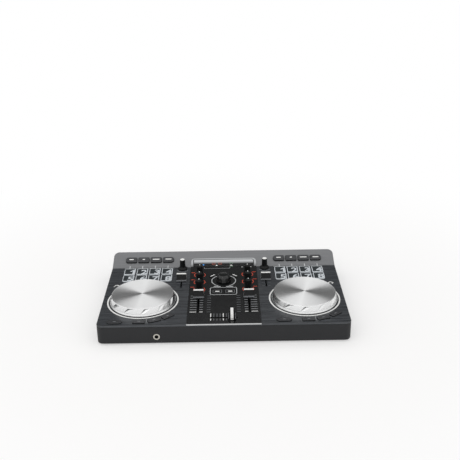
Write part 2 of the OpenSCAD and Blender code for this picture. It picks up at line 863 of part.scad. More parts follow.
bottom_case();
deck_panel();
rear_strip();
mixer_fascia();
circuit_board();
sockets();
case_screws();
rubber_feet();
crossfader();
browse_knob();
for (k = [0, 1]) {
    jog_wheel(SIDES[k]);
    tempo_fader(SIDES[k]);
    volume_fader(SIDES[k]);
    tall_knob(SIDES[k]);
    load_button(SIDES[k]);
    slant_button(SIDES[k]);
    for (i = [1:3])
        eq_knob(SIDES[k], i);
    for (i = ROW) {
        transport_button(SIDES[k], i);
        mode_button(SIDES[k], i);
    }
    for (i = PADS)
        pad(SIDES[k], i);
}
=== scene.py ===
# Two-deck controller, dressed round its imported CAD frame. Sizes are written in millimetres:
# X from the middle, Y from the front edge, Z from the top of the deck.
import json
import math

import bmesh
import bpy
from mathutils import Matrix, Vector

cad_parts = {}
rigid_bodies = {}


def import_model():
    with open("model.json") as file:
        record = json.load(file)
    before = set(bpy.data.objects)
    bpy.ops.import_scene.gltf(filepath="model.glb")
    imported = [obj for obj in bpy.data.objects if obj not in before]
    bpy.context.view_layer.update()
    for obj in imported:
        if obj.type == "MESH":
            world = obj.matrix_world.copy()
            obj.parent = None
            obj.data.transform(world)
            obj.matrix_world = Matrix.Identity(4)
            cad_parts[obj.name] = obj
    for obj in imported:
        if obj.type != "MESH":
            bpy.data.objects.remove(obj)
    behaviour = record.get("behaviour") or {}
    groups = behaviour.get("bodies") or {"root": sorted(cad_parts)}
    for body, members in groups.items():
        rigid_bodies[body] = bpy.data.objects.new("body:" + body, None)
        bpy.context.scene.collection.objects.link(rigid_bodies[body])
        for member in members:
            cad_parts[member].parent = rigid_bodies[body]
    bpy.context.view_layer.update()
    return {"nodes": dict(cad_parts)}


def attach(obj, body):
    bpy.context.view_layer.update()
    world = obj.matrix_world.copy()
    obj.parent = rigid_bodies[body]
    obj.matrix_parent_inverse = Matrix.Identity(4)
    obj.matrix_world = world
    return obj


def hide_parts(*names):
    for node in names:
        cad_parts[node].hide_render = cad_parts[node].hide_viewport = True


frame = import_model()
bpy.context.scene.view_settings.view_transform = "Standard"

# Lower case: a tray of black ABS, injection moulded with a fine spark-eroded grain.
# Ten screws from below draw it up to the panels, and a chamfer on its rim leaves a shadow line.
MM = 0.001
FRONT, DECK = 127.7, 36.0
CASE_W, CASE_D, CORNER_R = 415.0, 246.4, 10.0
SEAM_Z, BASE_Z = -3.0, -33.5
BASE_EDGE, SEAM_EDGE = 1.6, 0.45
# Points this close to an outline or a height count as on it; points this close together are welded.
NEAR, WELD = 0.05, 0.002
# Degrees: faces that turn by less than FLAT are one face, and edges that turn by more than CRISP stay sharp.
FLAT, CRISP = 0.5, 35


def at(x, y, z=0.0):
    """A place on the controller as a point of the part's frame, in metres."""
    return Vector((x, y - FRONT, z + DECK)) * MM


def place_of(co):
    """The place on the controller of a point of the part's frame: the reverse of at."""
    return co.x / MM, co.y / MM + FRONT, co.z / MM - DECK


def linear(hex_colour):
    """An sRGB hex colour as linear red, green, blue and alpha."""
    parts = [int(hex_colour[i:i + 2], 16) / 255 for i in (1, 3, 5)]
    return [c / 12.92 if c <= 0.04045 else ((c + 0.055) / 1.055) ** 2.4 for c in parts] + [1.0]


def add(material, kind, inputs=None, **settings):
    """Adds one shader node to a material, with its settings, values and links."""
    node = material.node_tree.nodes.new(kind)
    for name, value in settings.items():
        setattr(node, name, value)
    for name, value in (inputs or {}).items():
        if isinstance(value, bpy.types.NodeSocket):
            material.node_tree.links.new(value, node.inputs[name])
        else:
            node.inputs[name].default_value = value
    return node


def new_material(name, **sockets):
    """A material with one shader, whose even values sit on the shader's own sockets."""
    material = bpy.data.materials.new(name)
    material.use_nodes = True
    shader = material.node_tree.nodes["Principled BSDF"]
    for socket, value in sockets.items():
        shader.inputs[socket.replace("_", " ")].default_value = value
    return material


def connect(material, output, socket):
    """Leads a pattern to a socket of a material's shader."""
    material.node_tree.links.new(output, material.node_tree.nodes["Principled BSDF"].inputs[socket])


def colour_by(material, level, colours, span):
    """Colours a material from one tone to another while a level passes through a span."""
    ramp = add(material, "ShaderNodeValToRGB", {"Fac": level})
    for stop, place, colour in zip(ramp.color_ramp.elements, span, colours):
        stop.position = place
        stop.color = linear(colour)
    connect(material, ramp.outputs["Color"], "Base Color")


def roughen(material, pattern, roughness, depth):
    """Lets a pattern from 0 to 1 vary the roughness and raise the surface by a depth."""
    spread = add(material, "ShaderNodeMapRange",
                 {"Value": pattern, "To Min": roughness[0], "To Max": roughness[1]})
    connect(material, spread.outputs["Result"], "Roughness")
    bump = add(material, "ShaderNodeBump", {"Height": pattern, "Distance": depth * MM, "Strength": 0.6})
    connect(material, bump.outputs["Normal"], "Normal")


def vary(material, pattern, colours, roughness, depth, span=(0.3, 0.7)):
    """Lets a pattern vary colour, roughness and surface together."""
    colour_by(material, pattern, colours, span)
    roughen(material, pattern, roughness, depth)


def grain(material, sizes, detail=3.0):
    """A noise pattern whose features have the given sizes in X, Y and Z."""
    place = add(material, "ShaderNodeTexCoord")
    scaled = add(material, "ShaderNodeMapping",
                 {"Vector": place.outputs["Object"], "Scale": [1 / (s * MM) for s in sizes]})
    noise = add(material, "ShaderNodeTexNoise",
                {"Vector": scaled.outputs["Vector"], "Scale": 1.0, "Detail": detail})
    return noise.outputs["Fac"]


def grained(name, size, colours, roughness, depth, **sockets):
    """A material with an even grain. Finer grains are drawn at half a millimetre or so, coarse enough to show."""
    material = new_material(name, **sockets)
    vary(material, grain(material, (size,) * 3), colours, roughness, depth)
    return material


def off_outline(co, w=CASE_W, y0=0.0, y1=CASE_D, r=CORNER_R):
    """How far a point lies outside a rounded outline seen from above, in millimetres."""
    x, y, z = place_of(co)
    x, y = abs(x) - w / 2 + r, abs(y - (y0 + y1) / 2) - (y1 - y0) / 2 + r
    return math.hypot(max(x, 0), max(y, 0)) + min(max(x, y), 0) - r


def on_rim(edge, z, *outline, height=lambda co: place_of(co)[2]):
    """Whether an edge runs round an outline, by default the case's, at one height."""
    return all(abs(height(v.co) - z) < NEAR and abs(off_outline(v.co, *outline)) < NEAR for v in edge.verts)


def edit(on=True):
    """Opens the active piece in edit mode, or closes it."""
    bpy.ops.object.mode_set(mode="EDIT" if on else "OBJECT")


def take(piece):
    """Selects one piece and makes it the active one."""
    bpy.ops.object.select_all(action="DESELECT")
    piece.select_set(True)
    bpy.context.view_layer.objects.active = piece


def pick_all():
    """Selects all of the piece being edited."""
    bpy.ops.mesh.select_all(action="SELECT")


def pick(kind, test):
    """Selects what passes a test, in edit mode, and nothing else."""
    bpy.ops.mesh.select_mode(type=kind)
    bpy.ops.mesh.select_all(action="DESELECT")
    mesh = bmesh.from_edit_mesh(bpy.context.object.data)
    for part in {"VERT": mesh.verts, "EDGE": mesh.edges, "FACE": mesh.faces}[kind]:
        part.select_set(bool(test(part)))
    mesh.select_flush_mode()
    bmesh.update_edit_mesh(bpy.context.object.data)


def coat(index, test):
    """Gives the faces that pass a test the piece's material of that number, in edit mode."""
    mesh = bmesh.from_edit_mesh(bpy.context.object.data)
    for face in mesh.faces:
        if test(face):
            face.material_index = index
    bmesh.update_edit_mesh(bpy.context.object.data)


def break_edges(test, width, segments):
    """Rounds the edges that pass a test, in edit mode; one segment gives a chamfer."""
    pick("EDGE", test)
    bpy.ops.mesh.bevel(offset=width * MM, segments=segments, affect="EDGES")


def work_in(piece, kind, **settings):
    """Works a modifier into the active piece."""
    bpy.ops.object.modifier_add(type=kind)
    for name, value in settings.items():
        setattr(piece.modifiers[-1], name, value)
    bpy.ops.object.modifier_apply(modifier=piece.modifiers[-1].name)


def solid_copy(name, node):
    """A welded copy of a CAD solid, open in edit mode, to be shaped further."""
    piece = bpy.data.objects.new(name, frame["nodes"][node].data.copy())
    piece.data.materials.clear()
    bpy.context.collection.objects.link(piece)
    take(piece)
    bpy.ops.mesh.customdata_custom_splitnormals_clear()
    edit()
    pick_all()
    bpy.ops.mesh.remove_doubles(threshold=WELD * MM)
    bpy.ops.mesh.dissolve_limited(angle_limit=math.radians(FLAT))
    return piece


def fit(piece, body, slot, materials, *nodes, crisp=CRISP):
    """Closes a piece: its materials, its shading, the body it rides on and the nodes it stands for."""
    bpy.context.view_layer.objects.active = piece
    edit(False)
    take(piece)
    for material in materials:
        piece.data.materials.append(material)
    bpy.ops.object.shade_smooth_by_angle(angle=math.radians(crisp))
    work_in(piece, "WEIGHTED_NORMAL", keep_sharp=True)
    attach(piece, body)
    if nodes:
        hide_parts(*nodes)


# Moulded ABS: low gloss, with a grain that breaks up reflections.
black_abs = grained("moulded_black_abs", 0.5, ("#131416", "#1c1d20"), (0.46, 0.6), 0.03,
                    IOR=1.53, Specular_IOR_Level=0.35)

lower_case = solid_copy("lower_case", "bottom_case")
break_edges(lambda e: on_rim(e, BASE_Z), BASE_EDGE, 4)
break_edges(lambda e: on_rim(e, SEAM_Z), SEAM_EDGE, 1)
fit(lower_case, "case", "case_plastic", [black_abs], "bottom_case")

# Circuit boards: glass-epoxy boards with switches and potentiometers, hung on posts under the panels.
# Black solder mask covers the weave, and the boards are seen only through the slots.


def finish_node(node, material):
    """Gives a CAD node that stays as it is its finish."""
    mesh = frame["nodes"][node].data
    mesh.materials.clear()
    mesh.materials.append(material)


# Solder mask: a dark, half-gloss lacquer with the weave faintly raised in it.
solder_mask = grained("black_solder_mask", 0.4, ("#0a0d0b", "#101512"), (0.34, 0.46), 0.01, IOR=1.5)
finish_node("circuit_board", solder_mask)

# Case screws: ten steel screws with cross recesses, sunk in wells under the case.
# They are rolled and plated, and hold the case and the panels together.

# Zinc plate: a soft, slightly blue shine, a little cloudy.
zinc_steel = grained("zinc_plated_steel", 0.8, ("#9fa3a9", "#b6babf"), (0.28, 0.42), 0.004, Metallic=1.0)
finish_node("case_screws", zinc_steel)

# Feet: four soft rubber discs stuck under the corners, each standing on a raised ring.
# They are moulded, with a rounded outer edge.
FOOT_X, FOOT_Y, FOOT_STEPS = 182.5, (25.0, 221.4), 48
FOOT_PROFILE = [(0, 0.5), (5.4, 0.5), (6.2, 0.12), (6.8, 0), (8.1, 0), (8.7, 0.22), (9, 0.8), (9, 2.5), (0, 2.5)]


def new_piece(name):
    """Starts a piece, empty and open in edit mode."""
    bpy.ops.object.select_all(action="DESELECT")
    bpy.ops.mesh.primitive_plane_add(size=MM)
    bpy.context.object.name = bpy.context.object.data.name = name
    edit()
    bpy.ops.mesh.select_mode(type="VERT")
    bpy.ops.mesh.delete(type="VERT")
    return bpy.context.object


def shift(x, y, z):
    """Moves what is selected, in edit mode."""
    bpy.ops.transform.translate(value=(x * MM, y * MM, z * MM))


def draw_out(x, z):
    """Draws what is selected out to a new place, in edit mode."""
    bpy.ops.mesh.extrude_region_move(TRANSFORM_OT_translate={"value": (x * MM, 0, z * MM)})


def turned(name, profile, steps):
    """A piece of revolution: points (radius, height) drawn one by one and spun about the Z axis."""
    piece = new_piece(name)
    bpy.ops.mesh.primitive_plane_add(size=MM)
    bpy.ops.mesh.merge(type="CENTER")
    shift(profile[0][0], 0, profile[0][1])
    for (r0, z0), (r1, z1) in zip(profile, profile[1:]):
        draw_out(r1 - r0, z1 - z0)
    pick_all()
    bpy.ops.mesh.spin(steps=steps, angle=2 * math.pi, center=(0, 0, 0), axis=(0, 0, 1))
    pick_all()
    bpy.ops.mesh.remove_doubles(threshold=WELD * MM)
    bpy.ops.mesh.normals_make_consistent(inside=False)
    edit(False)
    return piece


def move_to(x, y, z=0.0):
    """The move that takes a piece from the origin to its place on the controller."""
    return Matrix.Translation(at(x, y, z))


def copied(piece, name, place):
    """A copy of a piece with a mesh of its own, put in its place."""
    copy = bpy.data.objects.new(name, piece.data.copy())
    copy.data.name = name
    copy.data.transform(place)
    bpy.context.collection.objects.link(copy)
    return copy


def joined(name, pieces):
    """Several pieces as one."""
    take(pieces[0])
    for piece in pieces:
        piece.select_set(True)
    bpy.ops.object.join()
    pieces[0].name = pieces[0].data.name = name
    return pieces[0]


def put_away(*pieces):
    """Removes pattern pieces once their copies are made."""
    for piece in pieces:
        mesh = piece.data
        bpy.data.objects.remove(piece)
        bpy.data.meshes.remove(mesh)


# Moulded rubber: dull and slightly grey, with a faint bloom.
foot_rubber = grained("moulded_foot_rubber", 0.7, ("#171717", "#222221"), (0.72, 0.9), 0.03, IOR=1.5)
foot = turned("foot", FOOT_PROFILE, FOOT_STEPS)
feet = [copied(foot, "foot_copy", move_to(x, y, -DECK)) for x in (-FOOT_X, FOOT_X) for y in FOOT_Y]
put_away(foot)
fit(joined("feet", feet), "case", "foot_rubber", [foot_rubber], "rubber_feet")

# Sockets: a square data socket and a phono pair at the rear, a headphone socket in the front wall.
# Nickel-plated shells and barrels in black bodies, with coloured insulators pressed into the phono pair.
RCA_X, RCA_Z, USB_X, PHONES_X = (7.0, 21.0), -16.0, -34.0, -110.0
BARREL_REACH, BARREL_END, WALL, RING_IN, RING_STEPS = 5.3, 255.4, 2.4, 0.05, 40
SHELL_HALF, CORE_HALF, CORE_Z, CORE_RISE, COLLAR_HALF = 6.1, 2.9, -16.5, 1.7, 6.0
RING_PROFILE = [(1.75, 0), (3.5, 0), (3.5, 0.2), (3.3, 0.35), (1.95, 0.35), (1.75, 0.2), (1.75, 0)]
# Nickel plate: a warm, clear shine with slight stains.
nickel = grained("nickel_plate", 0.6, ("#aeaba3", "#c4c1b9"), (0.18, 0.32), 0.003, Metallic=1.0)


def is_metal(face):
    """Whether a face belongs to a phono barrel, the data socket's shell or the headphone collar."""
    x, y, z = place_of(face.calc_center_median())
    in_barrel = any(math.hypot(x - rca, z - RCA_Z) < BARREL_REACH for rca in RCA_X) and y > CASE_D - WALL
    in_core = abs(x - USB_X) < CORE_HALF and abs(z - CORE_Z) < CORE_RISE
    in_shell = abs(x - USB_X) < SHELL_HALF and not in_core
    return in_barrel or in_shell or (abs(x - PHONES_X) < COLLAR_HALF and y < WALL)


def darker(colour, share):
    """A hex colour cut down to a share of its brightness."""
    return "#" + "".join(f"{int(int(colour[i:i + 2], 16) * share):02x}" for i in (1, 3, 5))


socket_set = solid_copy("socket_set", "sockets")
coat(1, lambda f: not is_metal(f))
fit(socket_set, "case", "socket_metal", [nickel, black_abs], "sockets")
ring = turned("insulator", RING_PROFILE, RING_STEPS)
for side, x, colour in zip(("left", "right"), RCA_X, ("#d9d6cf", "#a81f1c")):
    # Moulded nylon: an even colour with a waxy gloss.
    nylon = grained(f"{side}_channel_nylon", 0.6, (darker(colour, 0.92), colour), (0.34, 0.48), 0.006, IOR=1.53)
    turn = move_to(x, BARREL_END - RING_IN, RCA_Z) @ Matrix.Rotation(-math.pi / 2, 4, "X")
    fit(copied(ring, f"{side}_channel_insulator", turn), "case", "socket_metal", [nylon])
put_away(ring)

# Deck panel: flat ABS covered with a charcoal film that is brushed from side to side.
# The film wraps over a rounded edge, and the panel rests on the tray's rim.
DECK_D, TOP_EDGE = 204.9, 1.2
FILM_DARK, FILM_LIGHT = "#202225", "#414448"
# Brushed film: fine and broad streaks from side to side draw highlights out across the deck.
# Real brushing is finer; the streaks are a millimetre wide and more, so that they show.
brushed_film = new_material("brushed_charcoal_film", IOR=1.5, Anisotropic=0.4)
fine = grain(brushed_film, (28.0, 1.1, 1.1), 4.0)
coarse = grain(brushed_film, (90.0, 4.5, 4.5), 2.0)
both = add(brushed_film, "ShaderNodeMath", {0: fine, 1: coarse}, operation="ADD")
half = add(brushed_film, "ShaderNodeMath", {0: both.outputs[0], 1: 0.5}, operation="MULTIPLY")
vary(brushed_film, half.outputs[0], (FILM_DARK, FILM_LIGHT), (0.2, 0.38), 0.012, (0.36, 0.64))

deck_panel = solid_copy("deck_film_panel", "deck_panel")
break_edges(lambda e: on_rim(e, 0.0), TOP_EDGE, 4)
break_edges(lambda e: on_rim(e, SEAM_Z), SEAM_EDGE, 1)
fit(deck_panel, "case", "deck_panel", [brushed_film], "deck_panel")

# Rear strip: the same moulding in a brushed silver-grey film that darkens into the deck at its foot, partly its
# own tone and partly painted shade in the hollow.
# It rises in a hollow curve to a slope; behind the mixer plate it carries a raised tongue.
STRIP_ANGLE, BLEND_R, FASCIA_Z = math.radians(20.5), 16.0, 1.2
BLEND_END = BLEND_R * math.sin(STRIP_ANGLE)
# The tongue's outline: its width, front, rear and corner radius.
TONGUE, TONGUE_EDGE = (122.0, DECK_D - 10, 226.4, 7.0), 0.9


def strip_z(y):
    """Height of the strip above the deck at a distance from the front edge."""
    run = max(y - DECK_D, 0.0)
    if run < BLEND_END:
        return BLEND_R - math.sqrt(BLEND_R ** 2 - run ** 2)
    return BLEND_R * (1 - math.cos(STRIP_ANGLE)) + (run - BLEND_END) * math.tan(STRIP_ANGLE)


def lift(co):
    """How far a point lies above the strip, in millimetres."""
    x, y, z = place_of(co)
    return z - strip_z(y)


def on_tongue_edge(edge):
    """Whether an edge is part of the tongue's upper outline, apart from its front."""
    rear = max(place_of(v.co)[1] for v in edge.verts) > DECK_D + NEAR
    return rear and on_rim(edge, FASCIA_Z, *TONGUE, height=lift)


def on_tongue(face, level, height):
    """Whether a face is part of the tongue's upper side: at least so level and so high above the strip."""
    return face.normal.z > level and lift(face.calc_center_median()) > height


def fade(material, colours, start, end, pattern):
    """Colours a film from one tone to another between two distances from the front, with streaks."""
    place = add(material, "ShaderNodeTexCoord")
    split = add(material, "ShaderNodeSeparateXYZ", {"Vector": place.outputs["Object"]})
    ramp = add(material, "ShaderNodeMapRange",
               {"Value": split.outputs["Y"], "From Min": (start - FRONT) * MM, "From Max": (end - FRONT) * MM},
               interpolation_type="SMOOTHSTEP")
    streak = add(material, "ShaderNodeMapRange",
                 {"Value": pattern, "From Min": 0.25, "From Max": 0.75, "To Min": 0.8, "To Max": 1.1})
    level = add(material, "ShaderNodeMath", {0: ramp.outputs["Result"], 1: streak.outputs["Result"]},
                operation="MULTIPLY")
    colour_by(material, level.outputs[0], colours, (0.0, 1.0))


# Brushed silver film: a grey sheen, streaked like the deck's, that fades to the deck's tone at its foot; the dark
# foot is partly the film's own tone and partly painted shade in the hollow.
silver_film = new_material("brushed_silver_film", IOR=1.5, Anisotropic=0.4)
streaks = grain(silver_film, (40.0, 1.1, 1.1), 4.0)
roughen(silver_film, streaks, (0.3, 0.42), 0.01)
fade(silver_film, ("#303235", "#717274"), 204.3, 206.8, streaks)
# Painted highlight: the tongue's rim and rounded edge are given a lighter silver for the light they catch, darker
# towards the front.
rim_highlight = new_material("painted_highlight_silver_film", Roughness=0.3, IOR=1.5)
fade(rim_highlight, ("#58595b", "#b2b4b6"), 205.0, 216.0, grain(rim_highlight, (40.0, 1.1, 1.1)))

rear_strip = solid_copy("rear_strip_film", "rear_strip")
break_edges(on_tongue_edge, TONGUE_EDGE, 3)
# The tongue's top and rounded edge take the painted highlight.
coat(1, lambda f: on_tongue(f, 0.4, 0.5))
break_edges(lambda e: on_rim(e, 0.0, height=lift), TOP_EDGE, 4)
break_edges(lambda e: on_rim(e, SEAM_Z), SEAM_EDGE, 1)
pick("FACE", lambda f: on_tongue(f, 0.8, 1.0))
bpy.ops.mesh.duplicate()
bpy.ops.mesh.separate(type="SELECTED")
fit(rear_strip, "case", "strip_grey", [silver_film, rim_highlight], "rear_strip")

# The tongue's inlay: a printed film that leaves a rim of the strip bare round it, with a black border of painted
# groove shadow.
# It carries the black of the mixer plate up the curve and fades to silver.
INLAY_HALF, INLAY_END, INLAY_R, INLAY_LINE, INLAY_T = 57.0, 223.7, 4.6, 1.4, 0.12


def cut_along(place, normal, **settings):
    """Cuts the piece being edited along a plane through a place."""
    pick_all()
    bpy.ops.mesh.bisect(plane_co=place, plane_no=normal, **settings)


# Printed film: deep black below and bright silver above, with little shine of its own.
fade_print = new_material("silver_to_black_print", Roughness=0.3, IOR=1.5, Specular_IOR_Level=0.12)
fade(fade_print, ("#0e0f10", "#c8cacc"), 211.6, 220.0, grain(fade_print, (50.0, 0.8, 0.8)))
# Painted shadow: a matt black line round the inlay stands in for the shade of a groove between it and its rim.
groove_shadow = grained("painted_groove_shadow", 0.8, ("#101112", "#18191a"), (0.44, 0.58), 0.004)

inlay = next(o for o in bpy.data.objects if o.name.startswith("rear_strip_film."))
inlay.name = inlay.data.name = "tongue_inlay"
take(inlay)
edit()
for x, y, normal in ((INLAY_HALF, 0, (1, 0, 0)), (-INLAY_HALF, 0, (-1, 0, 0)), (0, INLAY_END, (0, 1, 0))):
    cut_along(at(x, y), normal, clear_outer=True)
pick("VERT", lambda v: abs(abs(v.co.x) - INLAY_HALF * MM) < NEAR * MM
     and abs(v.co.y - at(0, INLAY_END).y) < NEAR * MM)
bpy.ops.mesh.bevel(offset=INLAY_R * MM, segments=6, affect="VERTICES")
bpy.ops.mesh.select_mode(type="FACE")
pick_all()
bpy.ops.mesh.inset(thickness=INLAY_LINE * MM, use_boundary=True)
bpy.ops.mesh.select_all(action="INVERT")
# The border ring round the inlay takes the painted groove shadow.
coat(0, lambda f: not f.select)
coat(1, lambda f: f.select)
edit(False)
work_in(inlay, "SOLIDIFY", thickness=INLAY_T * MM, offset=1.0)
fit(inlay, "case", "strip_grey", [fade_print, groove_shadow])

# Mixer plate: a sheet of high-gloss black ABS, set in the window between the decks.
# Its edges are broken, and a bright trim line is foiled on the front edge.
PLATE_HALF, PLATE_EDGE = 61.0, 0.45
# The plate's outline, left open at the rear, where the plate meets the tongue.
PLATE = (2 * PLATE_HALF, 0.0, 2 * CASE_D, 0.0)
# Polished ABS: a deep black with clear reflections that waver slightly, as in moulded plate.
gloss_black = grained("piano_black_abs", 9.0, ("#0c0d0e", "#111213"), (0.17, 0.24), 0.002, IOR=1.5)
# Hot-stamped foil: a bright satin line, streaked along its length.
foil = new_material("satin_silver_foil", Metallic=1.0)
vary(foil, grain(foil, (20.0, 0.5, 0.5)), ("#b9babb", "#cccdce"), (0.24, 0.34), 0.003)

mixer_plate = solid_copy("mixer_gloss_plate", "mixer_fascia")
break_edges(lambda e: on_rim(e, FASCIA_Z, *PLATE), PLATE_EDGE, 3)
coat(1, lambda f: f.normal.y < -0.4 and place_of(f.calc_center_median())[1] < PLATE_EDGE)
fit(mixer_plate, "case", "mixer_gloss", [gloss_black, foil], "mixer_fascia")

# Deck print: rings, ticks and icons screen-printed in white and grey ink on the film.
# The ink is a thin flat layer that follows the panel and the foot of the strip.
DECK_X, JOG_Y, COLUMN_X, TALL_Y = 138.5, 83.0, 75.8, 198.5
INK, INK_SINK, PRINT_R = 0.05, 0.01, 0.35
RING_R, RING_W = 59.8, 2.5
HOOK_X, HOOK_Y, HOOK_R = 190.4, 136.0, 3.6
MARK_X, MARK_PITCH, MARK_Y, LINE_Y = 103.9, 23.65, 208.0, 203.8


def ink(name, colour):
    """A screen-printing ink: flat and matt to the eye, with the faint unevenness of the stencil's mesh."""
    return grained(name, 0.6, (darker(colour, 0.94), colour), (0.44, 0.58), 0.004, IOR=1.5)


white_ink, grey_ink, dim_ink, pale_ink = (
    ink(name, colour) for name, colour in (("white_ink", "#f2f2f0"), ("grey_ink", "#939598"),
                                           ("dim_grey_ink", "#5c5e61"), ("pale_grey_ink", "#c3c5c6")))


def top_z(x, y):
    """Height of the panel surface at a place."""
    if y > DECK_D:
        return strip_z(y) + (FASCIA_Z + INLAY_T if abs(x) < INLAY_HALF and y < INLAY_END else 0.0)
    return FASCIA_Z if abs(x) < PLATE_HALF else 0.0


def scale(x, y, z=1.0, centre=(0, 0, 0)):
    """Scales what is selected about a point, in edit mode."""
    bpy.ops.transform.resize(value=(x, y, z), center_override=centre)


def bar(x, y, w, d, turn=0.0, r=PRINT_R):
    """Adds a printed bar with rounded corners to the print being made."""
    bpy.ops.mesh.primitive_plane_add(size=MM)
    scale(w, d)
    bpy.ops.mesh.bevel(offset=min(r, w * 0.45, d * 0.45) * MM, segments=3, affect="VERTICES")
    if turn:
        bpy.ops.transform.rotate(value=-math.radians(turn), orient_axis="Z", center_override=(0, 0, 0))
    bpy.ops.transform.translate(value=at(x, y))


def arc(x, y, r, w, start=0.0, end=360.0, steps=72):
    """Adds a printed ring, or the part of it between two angles in degrees."""
    bpy.ops.mesh.primitive_circle_add(vertices=steps, radius=(r + w / 2) * MM, location=at(x, y))
    bpy.ops.mesh.extrude_region()
    inner = (r - w / 2) / (r + w / 2)
    scale(inner, inner, centre=at(x, y))
    bpy.ops.mesh.select_linked()
    ringed = {f.index for f in bmesh.from_edit_mesh(bpy.context.object.data).faces if f.select}

    def outside(face):
        co = face.calc_center_median() - at(x, y)
        return face.index in ringed and (math.degrees(math.atan2(co.y, co.x)) - start) % 360 > end - start

    if end - start < 360:
        pick("FACE", outside)
        bpy.ops.mesh.delete(type="FACE")
        bpy.ops.mesh.select_mode(type="VERT")


def outline(x0, x1, y0, y1, w, r):
    """Adds a printed frame with rounded corners."""
    bar((x0 + x1) / 2, (y0 + y1) / 2, x1 - x0, y1 - y0, r=r)
    bpy.ops.mesh.inset(thickness=w * MM)
    bpy.ops.mesh.delete(type="FACE")


def lay_print(material, slot="deck_panel", cuts=0):
    """Lays the print being made on the panels and gives the ink its thickness.

    Where it lies on a curve, cuts divide it so that it can follow.
    """
    piece = bpy.context.object
    if cuts:
        pick_all()
        bpy.ops.mesh.subdivide(number_cuts=cuts)
    pick("FACE", lambda f: f.normal.z < 0)
    bpy.ops.mesh.flip_normals()
    mesh = bmesh.from_edit_mesh(piece.data)
    for v in mesh.verts:
        x, y, z = place_of(v.co)
        v.co.z = (top_z(x, y) + DECK - INK_SINK) * MM
    bmesh.update_edit_mesh(piece.data)
    edit(False)
    work_in(piece, "SOLIDIFY", thickness=(INK + INK_SINK) * MM, offset=1.0)
    fit(piece, "case", slot, [material])


new_piece("deck_print_white")
for side in (-1, 1):
    arc(side * DECK_X, JOG_Y, RING_R, RING_W, steps=160)
    arc(side * HOOK_X, HOOK_Y, HOOK_R, 2.0, 10, 200, 40)
    bar(side * (HOOK_X + HOOK_R), HOOK_Y - 0.6, 4.4, 2.2, 60)
lay_print(white_ink)

new_piece("deck_print_grey")
for side in (-1, 1):
    arc(side * COLUMN_X, TALL_Y, 10.6, 0.9, 205, 335, 64)
    bar(side * DECK_X + 11.55, 15.2, 1.0, 11.0)
lay_print(grey_ink)

new_piece("deck_print_dim")
for side in (-1, 1):
    for y in (141.3, 129.3):
        for step in (-5.5, 5.5):
            bar(side * COLUMN_X + step, y, 5.6, 1.3)
lay_print(dim_ink)

new_piece("strip_print_pale")
for side in (-1, 1):
    for n in range(4):
        bar(side * (MARK_X + MARK_PITCH * n), MARK_Y, 1.5, 7.0)
    bar(side * DECK_X, LINE_Y, 91.0, 0.9)
lay_print(pale_ink, cuts=5)

# Mixer print: scales, arcs and frames screen-printed on the gloss plate and on the inlay behind it.
# White and grey for the faders, orange-red for the equaliser, and a pale broken ring round the browse knob.
EQ_X, EQ_Y = 43.2, (173.8, 146.0, 118.2)
BROWSE_Y, CROSS_Y = 148.4, 20.0
SCALE_X, SCALE_STEP, SCALE_Y = -1.0, 5.17, (27.6, 13.8)
VOLUME_ROWS = [39.0 + 7.8 * n for n in range(8)]
METER_X, ICON_X, ICON_Y = 25.2, 14.4, 208.4


def volume_line(y, w):
    """Adds a line of a width on both sides of each volume fader's slot."""
    for side in (-1, 1):
        bar(side * (EQ_X + 8.3), y, 11.0, w)
        bar(side * (EQ_X - 5.2), y, 5.8, w)


def cross_line(n, w, lengths):
    """Adds a line of a width to the crossfader's scale, behind its slot and in front of it."""
    for y, length in zip(SCALE_Y, lengths):
        bar(SCALE_X + SCALE_STEP * n, y, w, length)


new_piece("mixer_print_grey")
for y in VOLUME_ROWS[1:]:
    volume_line(y, 1.3)
bar(-12.2, 197.2, 48.6, 1.0)
bar(-36.0, 199.2, 1.0, 4.6)
bar(11.6, 199.8, 1.0, 5.6)
lay_print(grey_ink, "mixer_gloss")

new_piece("mixer_print_pale")
for x in (-11.5, 10.5):
    bar(x, 126.6, 12.5, 2.2, r=1.0)
outline(-24.2, 23.2, 96.6, 123.8, 1.1, 4.5)
for start in (-62, 122):
    arc(0, BROWSE_Y, 21.4, 1.4, start, start + 120, 96)
lay_print(pale_ink, "mixer_gloss")

new_piece("mixer_print_dim")
for y in VOLUME_ROWS:
    for side in (-1, 1):
        bar(side * METER_X, y - 0.3, 6.4, 1.4)
for n in (-3, -2, -1, 1, 2, 3):
    cross_line(n, 1.4, (11.0, 5.6))
lay_print(dim_ink, "mixer_gloss")

new_piece("mixer_print_white")
volume_line(VOLUME_ROWS[0], 1.5)
for n in (-4, 0):
    cross_line(n, 1.5, (11.6, 5.8))
for x in (34.6, 50.0):
    bar(x, 202.0, 3.6, 1.3)
bpy.ops.mesh.primitive_circle_add(vertices=3, radius=2.3 * MM, fill_type="NGON", location=at(-13.0, ICON_Y))
bar(ICON_X, ICON_Y, 4.2, 2.0, r=0.9)
lay_print(white_ink, "mixer_gloss", 2)

new_piece("mixer_print_amber")
for x in (-18.7, -6.6):
    outline(x - 3.3, x + 3.3, 210.9, 215.3, 0.9, 1.6)
lay_print(ink("amber_ink", "#a15240"), "mixer_gloss", 2)

new_piece("mixer_print_green")
arc(ICON_X, ICON_Y + 3.6, 2.6, 1.0, 0, 180, 32)
arc(ICON_X, ICON_Y - 2.0, 2.6, 1.0, 180, 360, 32)
lay_print(ink("green_ink", "#6f8f78"), "mixer_gloss", 2)

new_piece("mixer_print_red")
for side in (-1, 1):
    for y in EQ_Y:
        for start in (142, -38):
            arc(side * EQ_X, y - 2.0, 9.9, 1.15, start, start + 76)
        bar(side * (EQ_X + 12.4), y + 7.5, 6.8, 1.5)
lay_print(ink("orange_red_ink", "#dd4f33"), "mixer_gloss")

